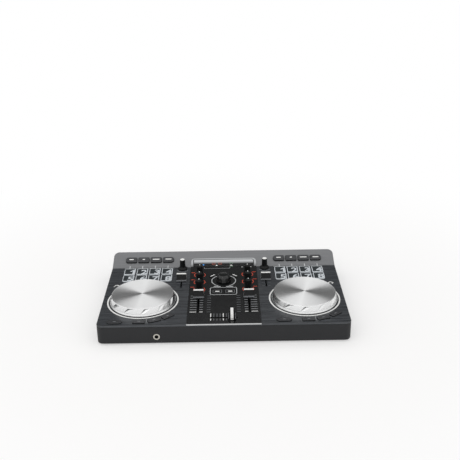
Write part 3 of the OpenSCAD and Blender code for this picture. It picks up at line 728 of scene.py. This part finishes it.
# Lamp: a small lens cap pressed into the inlay behind the equaliser.
# Tinted polycarbonate, lit from below by a light-emitting diode.
LAMP_X, LAMP_Y, LAMP_BLUE, LENS_STEPS = -37.6, 210.5, "#2f7fc4", 24
LENS_PROFILE = [(0, -0.4), (1.5, -0.4), (1.5, 0.15), (1.3, 0.42), (0.8, 0.6), (0, 0.66)]
# Tinted polycarbonate: a clear blue gloss that glows a little.
tint = grained("blue_lens_polycarbonate", 0.7, ("#2976ba", LAMP_BLUE), (0.2, 0.3), 0.002, IOR=1.58,
               Emission_Color=linear(LAMP_BLUE), Emission_Strength=0.5)
lens = turned("blue_lamp", LENS_PROFILE, LENS_STEPS)
lamp_z = top_z(LAMP_X, LAMP_Y)
lens.data.transform(move_to(LAMP_X, LAMP_Y, lamp_z) @ Matrix.Rotation(STRIP_ANGLE, 4, "X"))
fit(lens, "case", "mixer_gloss", [tint])

# Jog wheels: turned aluminium, each on a shaft that runs in a bush under the deck.
# The top is faced on the lathe, so fine rings draw light into a bow tie; the side has slanted finger cuts.
SIDES = ((-1, "left"), (1, "right"))
JOG_TOP, JOG_STEPS, JOG_CRISP = 13.8, 192, 13
JOG_PROFILE = [(0, -17.7), (6, -17.7), (6, 0.6), (9.5, 0.6), (9.5, 8.8), (48.2, 8.8), (52.0, 0.9), (52.4, 0.35),
               (56.0, 0.35), (56.3, 0.5), (56.4, 0.9), (56.3, 1.5), (55.4, 3.5), (55.1, 3.8), (54.8, 3.9),
               (54.7, 4.2), (55.3, 4.35), (55.55, 4.6), (54.2, 8.8), (52.95, 12.4), (52.85, 12.75),
               (52.7, 13.1), (52.5, 13.4), (52.2, 13.62), (51.9, 13.75)]
JOG_PROFILE += [(r, JOG_TOP) for r in (51.5, 40, 26, 12, 4, 0.8, 0)]
GROOVES, GROOVE_R, GROOVE_Z, GROOVE_TOP = 12, 54.1, 9.2, 12.6
GROOVE_SLANT, GROOVE_LEAN = math.radians(-54), math.radians(-18.8)
# Sections of a finger cut: place along it, depth, width of its easy side and of its steep side.
GROOVE_CUT = [(-9.0, 0.3, 0.5, 0.6), (-4.0, 1.2, 1.9, 2.3), (3.0, 1.95, 3.0, 3.6), (14.0, 2.6, 4.0, 5.0)]
# How far each wheel's cuts are turned round, in degrees.
PHASE = {"left": 8, "right": -6}
# Real spun rings are about a tenth of this apart; they are drawn wider, so that they show.
SPUN_STEP = 0.7
# Polished aluminium: a clear, bright metal, lined round the side by the lathe.
polished = new_material("polished_aluminium", Metallic=1.0)
vary(polished, grain(polished, (30.0, 30.0, 0.5)), ("#dfe0e0", "#e5e5e5"), (0.23, 0.3), 0.0004)

cutter = new_piece("cutter")
bpy.ops.mesh.primitive_circle_add(vertices=4, radius=MM, fill_type="NGON")
for n, (along, deep, easy, steep) in enumerate(GROOVE_CUT):
    bpy.ops.mesh.select_mode(type="FACE")
    if n:
        bpy.ops.mesh.extrude_region_move()
    corners = [v for v in bmesh.from_edit_mesh(cutter.data).verts if v.select]
    corners.sort(key=lambda v: (math.atan2(v.co.y, v.co.x) + 2) % (2 * math.pi))
    for v, (x, y) in zip(corners, ((0, -easy), (deep, 0), (0, steep), (-deep, 0))):
        v.co = Vector((x, y, along)) * MM
    bmesh.update_edit_mesh(cutter.data)
pick_all()
bpy.ops.mesh.normals_make_consistent(inside=False)
edit(False)
lean = Matrix.Rotation(GROOVE_LEAN, 4, "Y") @ Matrix.Rotation(GROOVE_SLANT, 4, "X")
cutter.data.transform(Matrix.Translation((GROOVE_R * MM, 0, GROOVE_Z * MM)) @ lean)
edit()
cut_along((0, 0, GROOVE_TOP * MM), (0, 0, 1), clear_outer=True, use_fill=True)
edit(False)

for side, name in SIDES:
    # Spun aluminium: silver-white, with a bow tie of light that turns with the eye.
    spun = new_material(f"{name}_spun_aluminium", Metallic=1.0, Anisotropic=0.95, Anisotropic_Rotation=0.25)
    place = add(spun, "ShaderNodeTexCoord")
    centred = add(spun, "ShaderNodeMapping",
                  {"Vector": place.outputs["Object"], "Location": -at(side * DECK_X, JOG_Y, JOG_TOP)})
    radius = add(spun, "ShaderNodeVectorMath", {0: centred.outputs["Vector"]}, operation="LENGTH")
    scaled = add(spun, "ShaderNodeMath", {0: radius.outputs["Value"], 1: 1 / (SPUN_STEP * MM)},
                 operation="MULTIPLY")
    rings = add(spun, "ShaderNodeTexNoise", {"W": scaled.outputs[0], "Scale": 1.0, "Detail": 3.0},
                noise_dimensions="1D")
    vary(spun, rings.outputs["Fac"], ("#ebecec", "#f6f6f6"), (0.44, 0.54), 0.002)
    tangent = add(spun, "ShaderNodeTangent", direction_type="RADIAL", axis="Z")
    connect(spun, tangent.outputs["Tangent"], "Tangent")

    wheel = turned(f"{name}_jog_turned_wheel", JOG_PROFILE, JOG_STEPS)
    turns = [math.radians(n * 360 / GROOVES + PHASE[name]) for n in range(GROOVES)]
    cuts = joined("cuts", [copied(cutter, "cut", Matrix.Rotation(turn, 4, "Z")) for turn in turns])
    take(wheel)
    work_in(wheel, "BOOLEAN", object=cuts, operation="DIFFERENCE")
    put_away(cuts)
    edit()
    coat(1, lambda f: f.normal.z <= 0.99 or max(v.co.z for v in f.verts) <= (JOG_TOP - 0.1) * MM)
    edit(False)
    wheel.data.transform(move_to(side * DECK_X, JOG_Y))
    fit(wheel, f"{name}_jog_wheel", "jog_aluminium", [spun, polished], f"{name}_jog_wheel", crisp=JOG_CRISP)
put_away(cutter)

# Pads: eight to a deck, moulded in milky silicone that shows as a pale frame round a dark printed top.
# Each top carries its number. A flange under the panel holds the pad, and a plunger works its switch.
PAD_W, PAD_D, PAD_R, PAD_END_R, PAD_PROUD, PAD_EDGE = 20.2, 23.6, 1.6, 4.5, 1.2, 0.45
PAD_X, PAD_Y = 23.0, (163.3, 189.7)
PAD_INSET, PAD_RECESS, PAD_SHIFT, PAD_WELD = 1.1, 0.25, (-0.25, 0.4), 0.12
PANEL_T, DECK_STACK = 3.0, 6.3
CORNER_STEPS, FLANGE, FLANGE_T, PLUNGER_R, BURIED = 7, 0.8, 1.0, 2.0, 0.1
NUMBER_H, NUMBER_RIGHT, NUMBER_LOW, NUMBER_RISE = 16.5, 8.6, -9.9, 0.1
# The font's digits, in their own units: how far they are thickened, and half their depth.
NUMBER_BOLD, NUMBER_DEPTH = 0.022, 0.006
STEM_W, FLAG, FLAG_TURN, FLAG_IN, FLAG_DOWN, FLAG_RISE = 3.2, (7.2, 2.8), math.radians(40), 4.6, 4.0, 0.09
TINY = 1e-6


def add_block(w, d, low, high, index=0, x=0.0, y=0.0):
    """Adds a box between two heights, in the material of a number, to the piece being edited."""
    bpy.ops.mesh.primitive_cube_add(size=MM)
    scale(w, d, high - low)
    shift(x, y, (low + high) / 2)
    bpy.ops.mesh.select_linked()
    coat(index, lambda f: f.select)


def at_height(edge, z):
    """Whether an edge lies level at a height."""
    return all(abs(v.co.z - z * MM) < TINY for v in edge.verts)


def button(name, w, d, radii, proud, panel, stack, edge):
    """A press button about its own place: rounded cap, retaining flange and plunger. Edit mode stays open.

    The radii belong to the front left, front right, back right and back left corners.
    """
    piece = new_piece(name)
    x, y, under = w / 2, d / 2, -panel - BURIED
    add_block(w, d, under, proud)
    for r, corner in zip(radii, ((-x, -y), (x, -y), (x, y), (-x, y))):
        spot = Vector(corner) * MM
        break_edges(lambda e: all((v.co.xy - spot).length < TINY for v in e.verts), r, CORNER_STEPS)
    break_edges(lambda e: at_height(e, proud), edge, 3)
    add_block(w + 2 * FLANGE, d + 2 * FLANGE, under - FLANGE_T, under)
    bpy.ops.mesh.primitive_cylinder_add(vertices=24, radius=PLUNGER_R * MM, depth=(stack - panel) * MM,
                                        location=(0, 0, -(stack + panel) / 2 * MM))
    return piece


def is_top(face, z):
    """Whether a face is the level top at a height."""
    return face.normal.z > 0.99 and abs(face.calc_center_median().z - z * MM) < TINY


def number(digit):
    """A raised digit, at the front right of a pad's top."""
    floor = PAD_PROUD - PAD_RECESS
    if digit == 1:
        new_piece("digit")
        add_block(STEM_W, NUMBER_H, floor - BURIED, floor + NUMBER_RISE, x=NUMBER_RIGHT - STEM_W / 2,
                  y=NUMBER_LOW + NUMBER_H / 2)
        add_block(*FLAG, floor - BURIED, floor + FLAG_RISE)
        bpy.ops.transform.rotate(value=-FLAG_TURN, orient_axis="Z", center_override=(0, 0, 0))
        shift(NUMBER_RIGHT - FLAG_IN, NUMBER_LOW + NUMBER_H - FLAG_DOWN, 0)
        edit(False)
        return bpy.context.object
    bpy.ops.object.select_all(action="DESELECT")
    bpy.ops.object.text_add()
    text = bpy.context.object.data
    text.body = str(digit)
    text.offset = NUMBER_BOLD
    text.extrude = NUMBER_DEPTH
    text.resolution_u = 5
    bpy.ops.object.convert(target="MESH")
    mesh = bpy.context.object.data
    low = [min(v.co[k] for v in mesh.vertices) for k in range(3)]
    high = [max(v.co[k] for v in mesh.vertices) for k in range(3)]
    size = NUMBER_H * MM / (high[1] - low[1])
    mesh.transform(Matrix.Translation((NUMBER_RIGHT * MM, NUMBER_LOW * MM, floor * MM))
                   @ Matrix.Diagonal((size, size, size, 1))
                   @ Matrix.Translation((-high[0], -low[1], -(low[2] + high[2]) / 2)))
    return bpy.context.object


def control(pattern, node, place, slot, materials, ending="cap"):
    """Puts a copy of a pattern in its place, as the moving node of that name."""
    fit(copied(pattern, f"{node}_{ending}", place), node, slot, materials, node)


# Milky silicone: pale and soft, light enters it a little; it frames each pad and draws the number.
milky_silicone = grained("milky_silicone", 1.2, ("#c1c7cc", "#d1d5d9"), (0.4, 0.52), 0.006, IOR=1.41,
                         Subsurface_Weight=0.15, Subsurface_Radius=(0.002, 0.002, 0.002))
# Printed silicone: a dark, matt top with a slight skin.
dark_silicone = grained("dark_printed_silicone", 0.8, ("#1d2326", "#282e31"), (0.42, 0.56), 0.01, IOR=1.45)

for n in range(1, 9):
    column, row = (n - 1) % 4, 1 if n <= 4 else 0
    radii = [PAD_END_R if (column, row) == corner else PAD_R for corner in ((0, 0), (3, 0), (3, 1), (0, 1))]
    pad = button(f"pad_{n}", PAD_W, PAD_D, radii, PAD_PROUD, PANEL_T, DECK_STACK, PAD_EDGE)
    pick("FACE", lambda f: is_top(f, PAD_PROUD))
    bpy.ops.mesh.inset(thickness=PAD_INSET * MM)
    bpy.ops.mesh.remove_doubles(threshold=PAD_WELD * MM)
    shift(*PAD_SHIFT, 0)
    draw_out(0, -PAD_RECESS)
    coat(1, lambda f: is_top(f, PAD_PROUD - PAD_RECESS))
    edit(False)
    digit = number(n)
    for material in (milky_silicone, dark_silicone):
        pad.data.materials.append(material)
        digit.data.materials.append(material)
    pad = joined(f"pad_{n}", [pad, digit])
    for side, name in SIDES:
        place = move_to(side * DECK_X + (column - 1.5) * PAD_X, PAD_Y[row])
        control(pad, f"{name}_pad_{n}", place, "pad_rubber", [])
    put_away(pad)

# Mode buttons: four to a deck on the slope, hard ABS caps with soft-touch dark tops; their sides are painted
# black as shade.
# The outer ends of the group are rounded, and each top carries a short printed bar.
MODE_W, MODE_D, MODE_PITCH, MODE_S, MODE_PROUD, MODE_EDGE = 20.4, 12.6, 23.2, 14.7, 3.0, 0.8
BUTTON_R, MODE_END_R = 2.0, 5.0
SLOPE_T = PANEL_T * math.cos(STRIP_ANGLE)
SLOPE_STACK = SLOPE_T + 3.3
MODE_BARS, MODE_BAR_D, MODE_BAR_Y = (8.0, 4.2, 12.6, 11.0), 2.0, 0.5
# Soft-touch lacquer: dark grey and velvety, without clear highlights.
soft_touch = grained("soft_touch_grey_abs", 0.5, ("#2f3033", "#393a3d"), (0.5, 0.62), 0.012, IOR=1.5)
slope_y = DECK_D + BLEND_END
slope = move_to(0, slope_y, strip_z(slope_y)) @ Matrix.Rotation(STRIP_ANGLE, 4, "X")
for n, length in enumerate(MODE_BARS, 1):
    left_r, right_r = MODE_END_R if n == 1 else BUTTON_R, MODE_END_R if n == 4 else BUTTON_R
    mode = button(f"mode_{n}", MODE_W, MODE_D, (left_r, right_r, right_r, left_r), MODE_PROUD, SLOPE_T,
                  SLOPE_STACK, MODE_EDGE)
    # The sides are given the case's black, darker than the tops: painted shade on the walls.
    coat(1, lambda f: f.normal.z < 0.5)
    add_block(length, MODE_BAR_D, MODE_PROUD - BURIED, MODE_PROUD + INK, 2, y=MODE_BAR_Y)
    edit(False)
    for side, name in SIDES:
        along = Vector((side * DECK_X + (n - 2.5) * MODE_PITCH, MODE_S, 0)) * MM
        control(mode, f"{name}_mode_button_{n}", slope @ Matrix.Translation(along), "mode_plastic",
                [soft_touch, black_abs, white_ink])
    put_away(mode)

# Transport buttons: a pill and a curved row of three at the front of each deck.
# Satin charcoal ABS caps with a crisp rounded edge, let into openings that follow them closely; their sides are
# painted near-black as shade.
TRANSPORT_W, TRANSPORT_D, PILL_W, PILL_R, TRANSPORT_R = 21.2, 10.6, 25.0, 5.0, 71.2
TRANSPORT_PROUD, TRANSPORT_EDGE, ROW_GAP, PILL_X = 1.6, 0.7, 2.0, -40.0
TOP_INSET, TOP_RECESS, DASH, DASH_SINK = 0.5, 0.12, (4.4, 0.9), 0.3
ROW_STEP = 2 * math.atan((TRANSPORT_W + ROW_GAP) / (2 * TRANSPORT_R - TRANSPORT_D))
# Satin ABS: a half-matt charcoal that shows the shape of the cap.
satin_abs = grained("satin_charcoal_abs", 0.6, ("#222326", "#2d2e31"), (0.34, 0.46), 0.01, IOR=1.53)
# Painted shade: the cap's sides are given near-black, darker than its top, and read as a shadow line round it.
shaded_side_abs = grained("painted_shade_black_abs", 0.5, ("#08090a", "#0d0e0f"), (0.46, 0.58), 0.01, IOR=1.53,
                  Specular_IOR_Level=0.25)
outward = Matrix.Translation((0, -TRANSPORT_R * MM, 0))
places = [Matrix.Translation((PILL_X * MM, 0, 0)) @ outward]
places += [Matrix.Rotation(n * ROW_STEP, 4, "Z") @ outward for n in range(3)]
for n, place in enumerate(places, 1):
    w, r = (PILL_W, PILL_R) if n == 1 else (TRANSPORT_W, BUTTON_R)
    key = button(f"transport_{n}", w, TRANSPORT_D, (r,) * 4, TRANSPORT_PROUD, PANEL_T, DECK_STACK, TRANSPORT_EDGE)
    # The sides take the near-black of painted shade.
    coat(1, lambda f: f.normal.z < 0.6)
    pick("FACE", lambda f: is_top(f, TRANSPORT_PROUD))
    bpy.ops.mesh.inset(thickness=TOP_INSET * MM)
    draw_out(0, -TOP_RECESS)
    add_block(*DASH, TRANSPORT_PROUD - DASH_SINK, TRANSPORT_PROUD - TOP_RECESS + INK, 2)
    edit(False)
    for side, name in SIDES:
        control(key, f"{name}_transport_button_{n}", move_to(side * DECK_X, JOG_Y) @ place,
                "button_plastic", [satin_abs, shaded_side_abs, grey_ink])
    put_away(key)

# Load buttons and slanted buttons: small caps through the gloss plate below and above the browse knob.
# The load caps are gloss black with a fine grey line and a white mark; the slanted ones carry a white dash.
LOAD_W, LOAD_D, LOAD_X, LOAD_Y, LOAD_IN, LOAD_LINE = 19.0, 14.0, 11.2, 106.5, 1.2, 0.45
SLANT_W, SLANT_D, SLANT_END_R, SLANT_R = 13.0, 5.2, 1.9, 27.0
SLANT_ANGLE, SLANT_SWING = math.radians(42), math.radians(48)
SMALL_PROUD, SMALL_EDGE, PLATE_T, PLATE_STACK = 1.4, 0.5, 2.2, 7.5
LOAD_MARK, SLANT_DASH = (7.2, 3.0), (9.6, 2.1)
load = button("load", LOAD_W, LOAD_D, (BUTTON_R,) * 4, SMALL_PROUD, PLATE_T, PLATE_STACK, SMALL_EDGE)
pick("FACE", lambda f: is_top(f, SMALL_PROUD))
bpy.ops.mesh.inset(thickness=LOAD_IN * MM)
coat(1, lambda f: f.select)
bpy.ops.mesh.inset(thickness=LOAD_LINE * MM)
coat(0, lambda f: f.select)
add_block(*LOAD_MARK, SMALL_PROUD - BURIED, SMALL_PROUD + INK, 2)
edit(False)
slant = button("slant", SLANT_W, SLANT_D, (SLANT_END_R,) * 4, SMALL_PROUD, PLATE_T, PLATE_STACK, SMALL_EDGE)
add_block(*SLANT_DASH, SMALL_PROUD - BURIED, SMALL_PROUD + INK, 1)
edit(False)
for side, name in SIDES:
    control(load, f"{name}_load_button", move_to(side * LOAD_X, LOAD_Y, FASCIA_Z), "button_plastic",
            [gloss_black, grey_ink, white_ink])
    x, y = side * SLANT_R * math.sin(SLANT_SWING), BROWSE_Y + SLANT_R * math.cos(SLANT_SWING)
    place = move_to(x, y, FASCIA_Z) @ Matrix.Rotation(-side * SLANT_ANGLE, 4, "Z")
    control(slant, f"{name}_slant_button", place, "slant_plastic", [gloss_black, white_ink])
put_away(load, slant)

# Knobs: black rubberised grips over D-shafts, fluted for the fingers.
# Equaliser knobs carry a white pointer, tall knobs a white cap over a flared skirt; the browse knob is dished.
EQ_PROFILE = [(0, -10.3), (3, -10.3), (3, 2.1), (5.9, 2.1), (6.2, 2.4), (6.2, 3.0), (5.9, 3.4), (5.5, 3.9),
              (5.35, 4.6), (5.3, 5.4), (5.15, 17.4), (5.05, 18.2), (4.75, 19.0), (4.2, 19.5), (3.4, 19.7),
              (0, 19.7)]
TALL_PROFILE = [(0, -10.3), (3, -10.3), (3, 1.5), (8.3, 1.5), (8.6, 1.8), (8.6, 2.5), (8.3, 3.0), (7.4, 3.5),
                (6.3, 4.2), (5.6, 5.2), (5.25, 6.6), (5.05, 8.2), (4.75, 18.6), (4.6, 19.4), (4.2, 20.1),
                (3.7, 20.45), (3.5, 20.6), (0, 20.6)]
BROWSE_PROFILE = [(0, -10.3), (3, -10.3), (3, 2.1), (12.9, 2.1), (13.3, 2.4), (13.4, 3.0), (13.25, 3.6),
                  (13.0, 4.6), (12.0, 9.0), (11.55, 10.3), (11.0, 11.5), (10.4, 12.5), (9.7, 13.3), (9.1, 13.75),
                  (8.6, 13.9), (8.2, 13.85), (7.8, 13.6), (7.2, 13.25), (6.4, 13.05), (5, 13), (0, 13)]
POINTER, POINTER_Y, TALL_CAP_Z = (1.1, 3.6, 19.6, 19.78), 2.6, 20.2
# Rubberised grip: nearly black, with a dull sheen along the flutes.
grip_rubber = grained("rubberised_grip", 0.5, ("#070808", "#0d0e0f"), (0.36, 0.48), 0.01, IOR=1.5,
                      Specular_IOR_Level=0.25)
# Polished ABS: the browse knob's gloss, with sharp highlights on its rim and in its dish.
knob_gloss = grained("polished_black_abs", 2.0, ("#060708", "#0a0b0c"), (0.11, 0.18), 0.001, IOR=1.53)


def fluted(name, profile, steps, every, low, high, depth):
    """A turned knob whose grip is fluted between two heights, open in edit mode."""
    knob = turned(name, profile, steps)
    edit()

    def in_flute(v):
        step = round(math.atan2(v.co.y, v.co.x) / (2 * math.pi / steps))
        return low * MM < v.co.z < high * MM and step % every == 0

    pick("VERT", in_flute)
    scale(1 - depth, 1 - depth)
    return knob


eq = fluted("eq", EQ_PROFILE, steps=72, every=3, low=4.5, high=18.5, depth=0.06)
add_block(*POINTER, 1, y=POINTER_Y)
edit(False)
tall = fluted("tall", TALL_PROFILE, steps=72, every=3, low=8.0, high=19.0, depth=0.06)
coat(1, lambda f: f.normal.z > 0.5 and f.calc_center_median().z > TALL_CAP_Z * MM)
edit(False)
browse = fluted("browse", BROWSE_PROFILE, steps=144, every=4, low=4.5, high=9.2, depth=0.018)
edit(False)
grip_finish = [grip_rubber, white_ink]
for side, name in SIDES:
    for n, y in enumerate(EQ_Y, 1):
        control(eq, f"{name}_eq_knob_{n}", move_to(side * EQ_X, y), "knob_rubber", grip_finish, "grip")
    control(tall, f"{name}_tall_knob", move_to(side * COLUMN_X, TALL_Y), "knob_rubber", grip_finish, "grip")
control(browse, "browse_knob", move_to(0, BROWSE_Y), "knob_rubber", [knob_gloss], "grip")
put_away(eq, tall, browse)

# Faders: black ABS caps pushed on metal stems, tapered and ribbed across for the fingers.
# A white line runs along the crest and down both ends, and the lip at the foot is painted grey as a highlight on
# its ledge.
CAP_W, CAP_L, CAP_H, CAP_GAP, LIP_H = 18.6, 12.5, 13.6, 1.0, 2.4
LIP_IN, LIP_EDGE, CAP_EDGE, CREST, LINE_HALF = 0.7, 0.3, 0.55, 0.56, 2.3
RIB_START, RIB_STEP, RIB_DEPTH, RIB_IN = 1.2, 1.05, 0.93, 2.8
STEM, STEM_FOOT, STEM_IN, STEM_EDGE = (1.6, 5.0), -10.5, 1.0, 0.3
CARRIAGE, CARRIAGE_TOP, CARRIAGE_EDGE = (5.2, 8.0), -7.5, 0.4
TEMPO_Y, VOLUME_Y, CROSS_X = 154.65, 90.5, 13.3
# Satin ABS: a black cap with a soft highlight along its ribs.
cap_abs = grained("satin_black_abs", 0.5, ("#0e0f10", "#151617"), (0.36, 0.5), 0.01, IOR=1.53,
                  Specular_IOR_Level=0.3)
# Painted highlight: the lip at the cap's foot is given a pale grey for the light its ledge catches, which sets
# the cap off from the panel.
lip_highlight_abs = grained("painted_highlight_grey_abs", 0.5, ("#747679", "#838588"), (0.36, 0.5), 0.01, IOR=1.53)


def fader(name, base):
    """A fader cap with its stem and carriage, sliding along Y over a surface at a height."""
    foot, lip, crest = base + CAP_GAP, base + CAP_GAP + LIP_H, base + CAP_H
    ribs = [lip + RIB_START + RIB_STEP * n for n in range(7)]
    cap = new_piece(name)
    add_block(CAP_W, CAP_L, foot, lip)
    pick("FACE", lambda f: f.normal.z > 0.9)
    bpy.ops.mesh.inset(thickness=LIP_IN * MM)
    draw_out(0, crest - lip)
    scale(1, CREST)
    break_edges(lambda e: max(v.co.z for v in e.verts) > (lip + 0.1) * MM, CAP_EDGE, 3)
    break_edges(lambda e: at_height(e, lip) and max(abs(v.co.y) for v in e.verts) > (CAP_L / 2 - 0.1) * MM,
                LIP_EDGE, 2)
    for z in ribs:
        cut_along((0, 0, z * MM), (0, 0, 1))
    for z in ribs[1::2]:
        pick("VERT", lambda v: abs(v.co.z - z * MM) < TINY and abs(v.co.y) > RIB_IN * MM)
        scale(1, RIB_DEPTH)
    for y in (-LINE_HALF, LINE_HALF):
        cut_along((0, y * MM, 0), (0, 1, 0))

    def on_lip(face):
        co = face.calc_center_median() / MM
        return face.normal.z > -0.5 and co.z < lip + 0.05 and abs(co.y) > CAP_L / 2 - LIP_IN

    def on_line(face):
        co = face.calc_center_median() / MM
        return face.normal.z > -0.5 and abs(co.y) < LINE_HALF and (face.normal.z < 0.3 or co.z > lip + 0.5)

    # The lip takes the pale grey of a painted highlight.
    coat(2, on_lip)
    coat(1, on_line)
    for w, d, top, edge in ((*STEM, foot + STEM_IN, STEM_EDGE), (*CARRIAGE, CARRIAGE_TOP, CARRIAGE_EDGE)):
        add_block(w, d, STEM_FOOT, top)
        bpy.ops.mesh.bevel(offset=edge * MM, segments=2, affect="EDGES")
    edit(False)
    return cap


deck_cap, plate_cap = fader("deck_cap", 0.0), fader("plate_cap", FASCIA_Z)
fader_finish = [cap_abs, white_ink, lip_highlight_abs]
for side, name in SIDES:
    control(deck_cap, f"{name}_tempo_fader", move_to(side * COLUMN_X, TEMPO_Y), "fader_plastic", fader_finish)
    control(plate_cap, f"{name}_volume_fader", move_to(side * EQ_X, VOLUME_Y), "fader_plastic", fader_finish)
across = move_to(CROSS_X, CROSS_Y) @ Matrix.Rotation(math.pi / 2, 4, "Z")
control(plate_cap, "crossfader", across, "fader_plastic", fader_finish)
put_away(deck_cap, plate_cap)

# Stage: a pale studio sweep, flat under the object and curved up all round, with a soft lamp above the back,
# a small one in front for highlights, and a camera at the photograph's angle and framing.
# Sizes of the studio are in metres.
SWEEP_R, SWEEP_H, SWEEP_CURVE = 6.5, 0.7, 0.5
SHADOW_R, PLAIN_R, SHADOW_GLOW = 0.25, 0.8, 0.4
WHITE = (1.0, 1.0, 1.0, 1.0)
sweep = new_piece("studio_sweep")
bpy.ops.mesh.primitive_circle_add(vertices=96, radius=SWEEP_R, fill_type="NGON")
pick("EDGE", lambda e: True)
bpy.ops.mesh.extrude_edges_move(TRANSFORM_OT_translate={"value": (0, 0, SWEEP_H)})
break_edges(lambda e: at_height(e, 0), SWEEP_CURVE / MM, 10)
edit(False)
bpy.ops.object.shade_smooth_by_angle(angle=math.radians(CRISP))
# Matt paint: it takes the shadow near the object and reads as plain white further out.
sweep_paint = new_material("matt_sweep_paint", Base_Color=linear("#fbfaf9"), Roughness=0.95)
rays = add(sweep_paint, "ShaderNodeLightPath")
seen = add(sweep_paint, "ShaderNodeMath", {0: rays.outputs["Is Camera Ray"], 1: rays.outputs["Is Glossy Ray"]},
           operation="MAXIMUM")
seen = add(sweep_paint, "ShaderNodeMath", {0: seen.outputs[0], 1: rays.outputs["Is Transmission Ray"]},
           operation="MAXIMUM")
place = add(sweep_paint, "ShaderNodeTexCoord")
reach = add(sweep_paint, "ShaderNodeVectorMath", {0: place.outputs["Object"]}, operation="LENGTH")
far = add(sweep_paint, "ShaderNodeMapRange", {"Value": reach.outputs["Value"], "From Min": SHADOW_R,
                                              "From Max": PLAIN_R, "To Min": SHADOW_GLOW},
          interpolation_type="SMOOTHSTEP")
share = add(sweep_paint, "ShaderNodeMath", {0: seen.outputs[0], 1: far.outputs["Result"]}, operation="MULTIPLY")
glow = add(sweep_paint, "ShaderNodeEmission", {"Color": WHITE, "Strength": 1.0})
blend = add(sweep_paint, "ShaderNodeMixShader", {0: share.outputs[0], 2: glow.outputs[0]})
nodes, links = sweep_paint.node_tree.nodes, sweep_paint.node_tree.links
links.new(nodes["Principled BSDF"].outputs[0], blend.inputs[1])
links.new(blend.outputs[0], nodes["Material Output"].inputs["Surface"])
sweep.data.materials.append(sweep_paint)

# The studio's walls: an even dome of light, dim only low down behind the object, so that gloss looks black.
# The soft lamp stands in the dim part and draws the bow tie on the spun metal.
BRIGHT_SIDE = (-0.1, -0.76, 0.64)
DIM_EDGE, BRIGHT_EDGE, DIM, BRIGHT = -0.15, 0.2, 0.14, 1.09
world = bpy.data.worlds.new("studio")
world.use_nodes = True
direction = add(world, "ShaderNodeTexCoord")
towards = add(world, "ShaderNodeVectorMath", {0: direction.outputs["Generated"], 1: BRIGHT_SIDE},
              operation="DOT_PRODUCT")
strength = add(world, "ShaderNodeMapRange",
               {"Value": towards.outputs["Value"], "From Min": DIM_EDGE, "From Max": BRIGHT_EDGE,
                "To Min": DIM, "To Max": BRIGHT}, interpolation_type="SMOOTHSTEP")
walls = world.node_tree.nodes["Background"]
walls.inputs["Color"].default_value = WHITE
world.node_tree.links.new(strength.outputs["Result"], walls.inputs["Strength"])
bpy.context.scene.world = world


def lamp(name, place, size, power):
    """A softbox: an area lamp of a given width and depth, pointed at the object."""
    data = bpy.data.lights.new(name, "AREA")
    data.shape = "RECTANGLE"
    data.size, data.size_y = size
    data.energy = power
    light = bpy.data.objects.new(name, data)
    light.location = place
    light.rotation_euler = (-Vector(place)).to_track_quat("-Z", "Y").to_euler()
    bpy.context.collection.objects.link(light)


lamp("back_softbox", (0.0, 0.9, 1.05), size=(0.5, 0.48), power=0.75)
lamp("front_lamp", (-0.45, -1.15, 1.15), size=(0.35, 0.3), power=1.2)

EYE = Vector((0.007215, -1.164484, 0.665688))
TILT, YAW, ROLL = math.radians(24.055), math.radians(-0.26), math.radians(-0.796)
LENS, SENSOR = 58.31, 36.0
aim = (Matrix.Rotation(YAW, 4, "Z") @ Matrix.Rotation(math.pi / 2 - TILT, 4, "X")
       @ Matrix.Rotation(ROLL, 4, "Z"))
camera = bpy.data.objects.new("camera", bpy.data.cameras.new("camera"))
camera.data.lens = LENS
camera.data.sensor_width = SENSOR
camera.matrix_world = Matrix.Translation(EYE) @ aim
bpy.context.collection.objects.link(camera)
bpy.context.scene.camera = camera
